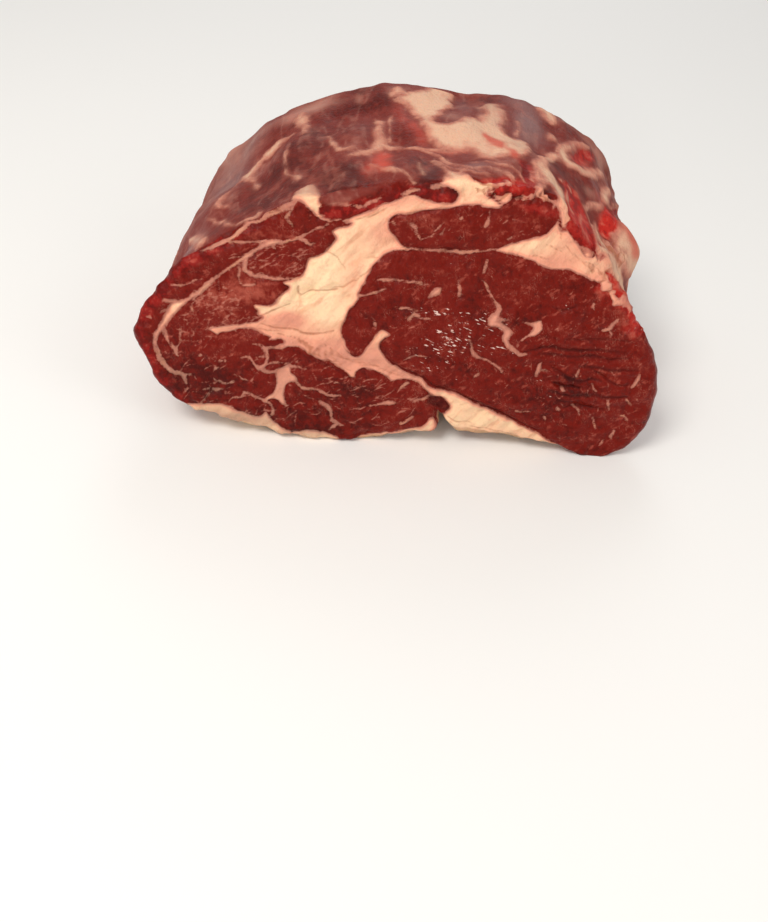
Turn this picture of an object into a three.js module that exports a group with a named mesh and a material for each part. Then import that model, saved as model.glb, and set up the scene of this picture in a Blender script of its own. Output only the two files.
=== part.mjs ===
// A thick dry-aged ribeye steak, boneless, cut across the rib.
// The fresh cut face looks along -Y and leans back; the body runs back along +Y to a second, dried cut.
// It lies on its fat cap, which is flattened where it rests. Millimetres, +Z up.
import * as THREE from "three";

// Driving dimensions
const bodyDepth = 104; // cut face to back end, at the height of the middle
const middle = { x: 2, z: 45 }; // the point that every section is drawn round
const faceLean = THREE.MathUtils.degToRad(12); // the cut face leans back by this
const backLean = THREE.MathUtils.degToRad(5); // the back end leans forward by this
const frontEdge = 2.4; // radius of the edge round the cut face
const eyeEdge = 3; // extra radius where the eye muscle bulges over that edge
const eyeSide = 0; // direction of that bulge in degrees, and how far it reaches to both sides
const eyeReach = 22;
const backEdge = 14; // radius of the edge round the dried back end
const restHeight = -1.5; // height of the flat that it rests on, in the frame of the sections

// Mesh density
const columns = 116;
const frontRings = 9;
const edgeRows = 4;
const sideRows = 15;
const backRings = 7;

// Sections from front to back, as x and z, clockwise from the thin left end seen from the front
const faceSection = [
  [-97.5, 39.5], [-90.5, 52], [-79, 65.5], [-62, 76], [-44, 87], [-28, 91.5], [-8, 95], [16, 98.5],
  [38, 97.5], [50, 91.5], [66, 76], [83, 57], [94.5, 40], [98, 20], [92.5, 4], [80, -2.4], [60, 2.6],
  [40, 5], [20, 5.5], [-2, 1.8], [-24, -1.2], [-44, 0.6], [-66, 5.6], [-81, 10], [-92, 24],
];
const middleSection = [
  [-88.5, 43], [-82, 56], [-71, 68.5], [-56, 80], [-38, 90.5], [-12, 97], [16, 99.5], [42, 97],
  [62, 87], [77, 73], [86, 57], [90, 40], [91, 22], [84, 6], [70, -3.5], [30, -4.8],
  [-20, -4.8], [-52, -3.5], [-72, 5], [-85, 23],
];
const backSection = [
  [-85, 43], [-78, 60], [-65, 74], [-49, 87], [-29, 95], [-6, 101], [18, 99], [36, 99.5],
  [60, 92], [81, 79], [90, 62], [94, 46], [93, 26], [84, 8], [68, -3.5], [30, -4.8],
  [-20, -4.8], [-48, -3.5], [-68, 7], [-80, 23],
];

// Single forms on the side: direction from the middle in degrees, place along the body from 0 to 1,
// reach round and along the body, and height
const sideForms = [
  { name: "knob of fat on the right", towards: 12, at: 0.33, wide: 11, long: 0.12, high: 7 },
  { name: "hollow behind the eye muscle", towards: 0, at: 0.15, wide: 22, long: 0.09, high: -3 },
  { name: "shoulder over the cap muscle", towards: 104, at: 0.2, wide: 20, long: 0.12, high: 1.5 },
];
// The slit under the cut face between the cap muscle and the fat below the eye
const slit = { towards: -66.5, wide: 3.8, deep: 9, long: 0.16 };
// Gentle lumps all over the side: waves in x, y and z, with their heights
const lumps = [
  { wave: [0.11, 0.07, 0.05], shift: 0.4, high: 0.9 },
  { wave: [-0.06, 0.13, 0.1], shift: 2.1, high: 0.8 },
  { wave: [0.19, -0.1, 0.12], shift: 4.2, high: 0.5 },
  { wave: [0.05, 0.21, -0.17], shift: 1.3, high: 0.5 },
];
const lumpsStart = 0.16; // share of the body over which the lumps fade in from each end
// Muscles that swell out of the two cuts: centre, half sizes and height
const faceSwells = [
  { x: 38, z: 36, wide: 52, tall: 32, high: 3 },
  { x: 18, z: 83, wide: 30, tall: 9, high: 1 },
  { x: -66, z: 46, wide: 26, tall: 26, high: 1.6 },
];
const backSwells = [
  { x: 34, z: 44, wide: 48, tall: 34, high: 4 },
  { x: -50, z: 44, wide: 30, tall: 28, high: 2.5 },
];

// A closed smooth curve through a section's points, read as a radius for each direction from the middle
function radiusOf(section) {
  const finePoints = 1200;
  const curve = new THREE.CatmullRomCurve3(
    section.map(([x, z]) => new THREE.Vector3(x - middle.x, 0, z - middle.z)),
    true,
    "catmullrom",
    0.5,
  );
  const polar = [];
  for (let i = 0; i < finePoints; i++) {
    const p = curve.getPoint(i / finePoints);
    polar.push({ angle: Math.atan2(p.z, p.x), radius: Math.hypot(p.x, p.z) });
  }
  polar.sort((a, b) => a.angle - b.angle);
  const last = polar[polar.length - 1];
  const ring = [
    { angle: last.angle - 2 * Math.PI, radius: last.radius },
    ...polar,
    { angle: polar[0].angle + 2 * Math.PI, radius: polar[0].radius },
  ];
  return (angle) => {
    let low = 0;
    let high = ring.length - 1;
    while (high - low > 1) {
      const half = (low + high) >> 1;
      if (ring[half].angle <= angle) low = half;
      else high = half;
    }
    const share = (angle - ring[low].angle) / (ring[high].angle - ring[low].angle);
    return ring[low].radius + share * (ring[high].radius - ring[low].radius);
  };
}

const faceRadius = radiusOf(faceSection);
const middleRadius = radiusOf(middleSection);
const backRadius = radiusOf(backSection);
const bell = (distance) => Math.exp(-distance * distance);
const turned = (angle, degrees) => {
  const apart = angle - THREE.MathUtils.degToRad(degrees);
  return THREE.MathUtils.radToDeg(Math.atan2(Math.sin(apart), Math.cos(apart)));
};

// Radius of the side, by a parabola through the three sections, with the single forms added
function sideRadius(angle, along) {
  let radius =
    faceRadius(angle) * (1 - along) * (1 - 2 * along) +
    middleRadius(angle) * 4 * along * (1 - along) +
    backRadius(angle) * along * (2 * along - 1);
  for (const form of sideForms) {
    const round = bell(turned(angle, form.towards) / form.wide);
    radius += form.high * round * bell((along - form.at) / form.long);
  }
  return radius - slit.deep * bell(turned(angle, slit.towards) / slit.wide) * bell(along / slit.long);
}

const frontY = (z) => -bodyDepth / 2 + (z - middle.z) * Math.tan(faceLean);
const backY = (z) => bodyDepth / 2 - (z - middle.z) * Math.tan(backLean);

function swellAt(swells, x, z) {
  return swells.reduce(
    (sum, s) => sum + s.high * bell(Math.hypot((x - s.x) / s.wide, (z - s.z) / s.tall)),
    0,
  );
}

function lumpAt(x, y, z) {
  return lumps.reduce(
    (sum, { wave, shift, high }) => sum + high * Math.sin(wave[0] * x + wave[1] * y + wave[2] * z + shift),
    0,
  );
}

// A point in one direction from the middle: share of the radius, set in from the side by inset,
// and pushed inwards from its end by push
function surfacePoint(angle, along, share, inset, push) {
  const fade = Math.min(1, along / lumpsStart, (1 - along) / lumpsStart);
  const radius = sideRadius(angle, along);
  const lump = lumpAt(Math.cos(angle) * radius, along * bodyDepth, Math.sin(angle) * radius);
  const grown = radius + Math.max(0, fade) * lump;
  const reach = share * (grown - inset);
  const x = middle.x + Math.cos(angle) * reach;
  const z = Math.max(restHeight, middle.z + Math.sin(angle) * reach);
  const rim = 1 - share ** 4;
  const front = frontY(z) - rim * swellAt(faceSwells, x, z) + (along === 0 ? push : 0);
  const back = backY(z) + rim * swellAt(backSwells, x, z) - (along === 1 ? push : 0);
  return new THREE.Vector3(x, front + along * (back - front), z);
}

// Rows of the surface from the middle of the cut face, over its edge, along the side and onto the back end
function surfaceRows() {
  const rows = [];
  const edgeAt = (angle) => frontEdge + eyeEdge * bell(turned(angle, eyeSide) / eyeReach);
  for (let i = 1; i <= frontRings; i++) {
    rows.push((angle) => surfacePoint(angle, 0, i / frontRings, edgeAt(angle), 0));
  }
  for (let i = 1; i < edgeRows; i++) {
    const turn = ((Math.PI / 2) * i) / edgeRows;
    rows.push((angle) => {
      const edge = edgeAt(angle);
      return surfacePoint(angle, 0, 1, edge * (1 - Math.sin(turn)), edge * (1 - Math.cos(turn)));
    });
  }
  const backShare = backEdge / bodyDepth;
  for (let i = 0; i <= sideRows; i++) {
    const share = i / sideRows;
    rows.push((angle) => {
      const start = edgeAt(angle) / bodyDepth;
      return surfacePoint(angle, start + (1 - backShare - start) * share, 1, 0, 0);
    });
  }
  for (let i = 1; i < edgeRows; i++) {
    const turn = ((Math.PI / 2) * i) / edgeRows;
    rows.push((angle) =>
      surfacePoint(angle, 1, 1, backEdge * (1 - Math.cos(turn)), backEdge * (1 - Math.sin(turn))),
    );
  }
  for (let i = backRings; i >= 1; i--) {
    rows.push((angle) => surfacePoint(angle, 1, i / backRings, backEdge, 0));
  }
  return rows;
}

// Directions spaced evenly along the outline of the cut face
function directions() {
  const steps = 4000;
  const along = [0];
  const pointAt = (i) => {
    const angle = -Math.PI + (2 * Math.PI * i) / steps;
    return new THREE.Vector2(Math.cos(angle), Math.sin(angle)).multiplyScalar(faceRadius(angle));
  };
  for (let i = 1; i <= steps; i++) {
    along.push(along[i - 1] + pointAt(i).distanceTo(pointAt(i - 1)));
  }
  const angles = [];
  let i = 0;
  for (let column = 0; column < columns; column++) {
    const wanted = (along[steps] * column) / columns;
    while (along[i + 1] < wanted) i++;
    const share = (wanted - along[i]) / (along[i + 1] - along[i]);
    angles.push(-Math.PI + (2 * Math.PI * (i + share)) / steps);
  }
  return angles;
}

// The closed skin: a fan at each pole and bands of triangles between the rows
function steakGeometry() {
  const angles = directions();
  const rows = surfaceRows();
  const points = [surfacePoint(0, 0, 0, 0, 0)];
  for (const row of rows) points.push(...angles.map(row));
  points.push(surfacePoint(0, 1, 0, 0, 0));
  const backPole = points.length - 1;
  const at = (row, column) => 1 + row * columns + (column % columns);
  const faces = [];
  for (let c = 0; c < columns; c++) {
    faces.push(0, at(0, c), at(0, c + 1));
    for (let r = 0; r + 1 < rows.length; r++) {
      faces.push(at(r, c), at(r + 1, c), at(r + 1, c + 1));
      faces.push(at(r, c), at(r + 1, c + 1), at(r, c + 1));
    }
    faces.push(backPole, at(rows.length - 1, c + 1), at(rows.length - 1, c));
  }
  const geometry = new THREE.BufferGeometry().setFromPoints(points);
  geometry.setIndex(faces);
  return geometry;
}

// The origin is the middle of the bounding box, at the height of the face that it rests on
function centred(geometry) {
  geometry.computeBoundingBox();
  const box = geometry.boundingBox;
  const centre = box.getCenter(new THREE.Vector3());
  geometry.translate(-centre.x, -centre.y, -box.min.z);
  geometry.computeVertexNormals();
  return geometry;
}

const freshMeat = new THREE.MeshStandardMaterial({ color: 0x7c2420, roughness: 0.45, metalness: 0 });
const steak = new THREE.Mesh(centred(steakGeometry()), freshMeat);
steak.name = "ribeye_steak";

const part = new THREE.Group();
part.add(steak);

export default part;
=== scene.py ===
import math

import bpy
import numpy as np
from mathutils import Matrix


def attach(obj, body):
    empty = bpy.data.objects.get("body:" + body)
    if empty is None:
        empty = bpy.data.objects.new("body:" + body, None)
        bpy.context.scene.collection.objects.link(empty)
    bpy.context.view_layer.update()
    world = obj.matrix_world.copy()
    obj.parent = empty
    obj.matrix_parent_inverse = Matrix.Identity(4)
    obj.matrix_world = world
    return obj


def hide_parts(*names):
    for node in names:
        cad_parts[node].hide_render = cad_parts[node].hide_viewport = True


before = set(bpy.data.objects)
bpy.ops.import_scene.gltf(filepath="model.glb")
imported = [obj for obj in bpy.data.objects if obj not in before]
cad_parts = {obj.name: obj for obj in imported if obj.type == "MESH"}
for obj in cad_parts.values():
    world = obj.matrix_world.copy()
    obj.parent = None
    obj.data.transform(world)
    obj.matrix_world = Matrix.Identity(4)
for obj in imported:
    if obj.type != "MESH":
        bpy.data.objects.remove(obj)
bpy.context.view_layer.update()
mm = 0.001

# The steak's main form, in millimetres: the same sections, lean and lumps as its solid
steak = {
    "depth": 104.0,  # cut face to back end, at the height of the middle
    "middle": (2.0, 45.0),  # the point that every section is drawn round
    "faceLean": 12.0,  # degrees by which the cut face leans back and the back end forward
    "backLean": 5.0,
    "frontEdge": 2.4,  # radius of the edge round the cut face
    "eyeEdge": 3.0,  # extra radius where the eye muscle bulges over that edge
    "eyeSide": 0.0,  # direction of that bulge, and how far it reaches to both sides
    "eyeReach": 22.0,
    "backEdge": 14.0,  # radius of the edge round the back end
    "restHeight": -1.5,  # height of the flat that it rests on
    "faceSection": [
        (-97.5, 39.5), (-90.5, 52), (-79, 65.5), (-62, 76), (-44, 87), (-28, 91.5), (-8, 95),
        (16, 98.5), (38, 97.5), (50, 91.5), (66, 76), (83, 57), (94.5, 40), (98, 20), (92.5, 4),
        (80, -2.4), (60, 2.6), (40, 5), (20, 5.5), (-2, 1.8), (-24, -1.2), (-44, 0.6), (-66, 5.6),
        (-81, 10), (-92, 24)],
    "middleSection": [
        (-88.5, 43), (-82, 56), (-71, 68.5), (-56, 80), (-38, 90.5), (-12, 97), (16, 99.5), (42, 97),
        (62, 87), (77, 73), (86, 57), (90, 40), (91, 22), (84, 6), (70, -3.5), (30, -4.8),
        (-20, -4.8), (-52, -3.5), (-72, 5), (-85, 23)],
    "backSection": [
        (-85, 43), (-78, 60), (-65, 74), (-49, 87), (-29, 95), (-6, 101), (18, 99), (36, 99.5),
        (60, 92), (81, 79), (90, 62), (94, 46), (93, 26), (84, 8), (68, -3.5), (30, -4.8),
        (-20, -4.8), (-48, -3.5), (-68, 7), (-80, 23)],
    # single forms: direction, place along the body, reach round, reach along, height
    "sideForms": [(12, 0.33, 11, 0.12, 7), (0, 0.15, 22, 0.09, -3), (104, 0.2, 20, 0.12, 1.5)],
    # slit under the cut: direction, reach round, depth, reach along
    "slit": (-66.5, 3.8, 9, 0.16),
    # lumps: wave in x, y and z, shift, height
    "lumps": [((0.11, 0.07, 0.05), 0.4, 0.9), ((-0.06, 0.13, 0.1), 2.1, 0.8),
              ((0.19, -0.1, 0.12), 4.2, 0.5), ((0.05, 0.21, -0.17), 1.3, 0.5)],
    "lumpsStart": 0.16,  # share of the body over which the lumps fade in from each end
    # muscles that swell out of each cut: centre, half sizes and height
    "faceSwells": [(38, 36, 52, 32, 3), (18, 83, 30, 9, 1), (-66, 46, 26, 26, 1.6)],
    "backSwells": [(34, 44, 48, 34, 4), (-50, 44, 30, 28, 2.5)],
    "spanPoints": 60,  # points of the smooth curve in each span of a section
    "outlineSteps": 7200,  # steps in which the outlines are measured
    "columnStart": -47.0,  # direction of the first column, the lower right corner of the cut face
    "girthStart": 200.0,  # direction from which the girth is measured, below the thin left end
    "girthAlong": 0.45,  # place along the body of the section whose girth is measured
    # cells across and up each end, rows along the side, and steps round each edge
    "faceCells": (304, 160), "backCells": (150, 82), "sideRows": 60, "edgeSteps": 4, "backEdgeSteps": 6,
}


# A bell: e to the power of minus the distance squared
def bell(distance):
    return np.exp(-distance * distance)


# 0 up to low, 1 from high on, and between them three t squared less two t cubed
def smoothStep(low, high, value):
    t = np.clip((value - low) / (high - low), 0, 1)
    return t * t * (3 - 2 * t)


# A smooth curve through points: each span is a cubic whose end slopes are half the step
# between the neighbours of that end
def smoothCurve(points, perSpan, closed=True):
    p = np.asarray(points, float)
    if not closed:
        p = np.vstack([2 * p[0] - p[1], p, 2 * p[-1] - p[-2]])
        before, start, end, after = p[:-3], p[1:-2], p[2:-1], p[3:]
    else:
        before, start, end, after = np.roll(p, 1, 0), p, np.roll(p, -1, 0), np.roll(p, -2, 0)
    t = (np.arange(perSpan) / perSpan)[None, :, None]
    slopeIn, slopeOut = (end - before)[:, None] / 2, (after - start)[:, None] / 2
    start, end = start[:, None], end[:, None]
    curve = ((2 * start - 2 * end + slopeIn + slopeOut) * t**3
             + (3 * end - 3 * start - 2 * slopeIn - slopeOut) * t**2 + slopeIn * t + start)
    curve = curve.reshape(-1, p.shape[1])
    return curve if closed else np.vstack([curve, p[-2]])


# A section as a radius for each direction from the middle, repeated for a turn to both sides
def radiusTable(section):
    curve = smoothCurve(section, steak["spanPoints"]) - steak["middle"]
    angle, radius = np.arctan2(curve[:, 1], curve[:, 0]), np.hypot(curve[:, 0], curve[:, 1])
    order = np.argsort(angle)
    turns = np.repeat([-2 * math.pi, 0, 2 * math.pi], len(angle))
    return np.tile(angle[order], 3) + turns, np.tile(radius[order], 3)


radiusTables = [radiusTable(steak[name]) for name in ("faceSection", "middleSection", "backSection")]


# How far a direction is turned from another, in degrees between -180 and 180
def turnedFrom(angle, degrees):
    apart = angle - math.radians(degrees)
    return np.degrees(np.arctan2(np.sin(apart), np.cos(apart)))


# Radius of the side: a parabola through the three sections, plus a bell for each single form, less the
# slit's bell
def sideRadius(angle, along):
    turn = np.arctan2(np.sin(angle), np.cos(angle))
    face, middle, back = (np.interp(turn, *table) for table in radiusTables)
    radius = (face * (1 - along) * (1 - 2 * along) + middle * 4 * along * (1 - along)
              + back * along * (2 * along - 1))
    for towards, at, wide, long, high in steak["sideForms"]:
        radius = radius + high * bell(turnedFrom(angle, towards) / wide) * bell((along - at) / long)
    towards, wide, deep, long = steak["slit"]
    return radius - deep * bell(turnedFrom(angle, towards) / wide) * bell(along / long)


# The sum of bells, each by its centre, half sizes and height
def bellsAt(x, z, bells):
    return sum(high * bell(np.hypot((x - cx) / wide, (z - cz) / tall))
               for cx, cz, wide, tall, high in bells)


# Radius of the front edge: its own, plus a bell where the eye muscle bulges
def edgeRadius(angle):
    bulge = bell(turnedFrom(angle, steak["eyeSide"]) / steak["eyeReach"])
    return steak["frontEdge"] + steak["eyeEdge"] * bulge


# A point in one direction from the middle: share of the radius, inset from the side, push in from the
# nearer end. The ends are leaning planes with swells that fade to the rim by the share's fourth power, and
# the lumps are a sum of sine waves.
def steakPoint(angle, along, share, inset=0.0, push=0.0):
    angle, along, share = np.broadcast_arrays(*(np.asarray(v, float) for v in (angle, along, share)))
    cx, cz = steak["middle"]
    depth = steak["depth"]
    radius = sideRadius(angle, along)
    fade = np.clip(np.minimum(along, 1 - along) / steak["lumpsStart"], 0, 1)
    rough = (np.cos(angle) * radius, along * depth, np.sin(angle) * radius)
    lump = sum(high * np.sin(sum(w * c for w, c in zip(wave, rough)) + shift)
               for wave, shift, high in steak["lumps"])
    reach = share * (radius + fade * lump - inset)
    x = cx + np.cos(angle) * reach
    z = np.maximum(steak["restHeight"], cz + np.sin(angle) * reach)
    rim = 1 - share**4
    front = (-depth / 2 + (z - cz) * math.tan(math.radians(steak["faceLean"]))
             - rim * bellsAt(x, z, steak["faceSwells"]) + np.where(along == 0, push, 0))
    back = (depth / 2 - (z - cz) * math.tan(math.radians(steak["backLean"]))
            + rim * bellsAt(x, z, steak["backSwells"]) - np.where(along == 1, push, 0))
    return np.stack([x, front + along * (back - front), z], -1)


# Length from the first direction to each, along the outline at one place of the body
def lengthTable(angles, along):
    ring = steakPoint(angles, along, 1)
    steps = np.hypot(np.diff(ring[:, 0]), np.diff(ring[:, 2]))
    return np.concatenate([[0], np.cumsum(steps)])


fineTurn = np.linspace(0, 2 * math.pi, steak["outlineSteps"] + 1)
columnStart = math.radians(steak["columnStart"])
girthStart = math.radians(steak["girthStart"])
rimLength = lengthTable(columnStart + fineTurn, 0.0)
girthLength = lengthTable(girthStart - fineTurn, steak["girthAlong"])


# Girth at a direction: length along the outline, clockwise seen from the front
def girthAt(angle):
    return np.interp(np.mod(girthStart - angle, 2 * math.pi), fineTurn, girthLength)


# Smooth random heights from about -1 to 1: a lattice of random slopes, blended with a fifth-power ease
def softNoise(points, size, seed):
    slopeCount, mixers, gain = 4096, (73856093, 19349663, 83492791), 1.6
    slopes = np.random.default_rng(seed).normal(size=(slopeCount, 3))
    slopes /= np.linalg.norm(slopes, axis=1)[:, None]
    p = np.asarray(points, float) / size
    cell = np.floor(p).astype(np.int64)
    inside = p - cell
    ease = inside**3 * (inside * (inside * 6 - 15) + 10)
    total = np.zeros(p.shape[:-1])
    for corner in np.ndindex(2, 2, 2):
        at = (cell + corner) * mixers
        key = (at[..., 0] ^ at[..., 1] ^ at[..., 2]) % slopeCount
        weight = np.prod(np.where(np.array(corner) == 1, ease, 1 - ease), -1)
        total += weight * np.sum(slopes[key] * (inside - corner), -1)
    return total * gain


# Depths in strokes and areas, in millimetres: above 0 inside, below 0 outside, and this where none is near
farAway = -9.0


# Which places lie in the box round a curve, widened by reach
def nearCurve(x, z, curve, reach):
    low, high = curve[:, :2].min(0) - reach, curve[:, :2].max(0) + reach
    return (x > low[0]) & (x < high[0]) & (z > low[1]) & (z < high[1])


# The nearest point of a straight stretch, as a share of the stretch, and the distance to it
def nearestOn(x, z, start, end):
    dx, dz = end[0] - start[0], end[1] - start[1]
    t = np.clip(((x - start[0]) * dx + (z - start[1]) * dz) / max(dx * dx + dz * dz, 1e-9), 0, 1)
    return t, np.hypot(x - start[0] - t * dx, z - start[1] - t * dz)


# Depth in a stroke: half its width less the distance to its nearest stretch
def strokeDepth(x, z, stroke, perSpan=5, reach=5):
    curve = smoothCurve(stroke, perSpan, closed=False)
    depth = np.full(x.shape, farAway)
    near = nearCurve(x, z, curve, reach)
    px, pz, best = x[near], z[near], depth[near]
    for start, end in zip(curve[:-1], curve[1:]):
        t, distance = nearestOn(px, pz, start, end)
        best = np.maximum(best, (start[2] + (end[2] - start[2]) * t) / 2 - distance)
    depth[near] = best
    return depth


# Depth in a closed outline: the distance to its nearest side, negative outside, where an even number of
# sides is crossed on the way out
def areaDepth(x, z, outline, perSpan=4, reach=9):
    curve = smoothCurve(outline, perSpan)
    depth = np.full(x.shape, farAway)
    near = nearCurve(x, z, curve, reach)
    px, pz = x[near], z[near]
    best = np.full(px.shape, np.inf)
    inside = np.zeros(px.shape, bool)
    for start, end in zip(curve, np.roll(curve, -1, 0)):
        best = np.minimum(best, nearestOn(px, pz, start, end)[1])
        if start[1] != end[1]:
            crosses = (start[1] > pz) != (end[1] > pz)
            across = start[0] + (pz - start[1]) * (end[0] - start[0]) / (end[1] - start[1])
            inside ^= crosses & (px < across)
    depth[near] = np.where(inside, best, -best)
    return depth


# The greatest depth over areas and strokes
def depthOf(x, z, areas=(), strokes=()):
    depth = np.full(x.shape, farAway)
    for outline in areas:
        depth = np.maximum(depth, areaDepth(x, z, outline))
    for stroke in strokes:
        depth = np.maximum(depth, strokeDepth(x, z, stroke))
    return depth


# The same for areas with an amount each, which is read from the deepest one at each place
def vividDepth(x, z, areas):
    depth, vividness = np.full(x.shape, farAway), np.zeros(x.shape)
    for amount, outline in areas:
        inside = areaDepth(x, z, outline)
        vividness = np.where(inside > depth, amount, vividness)
        depth = np.maximum(depth, inside)
    return depth, vividness


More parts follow.
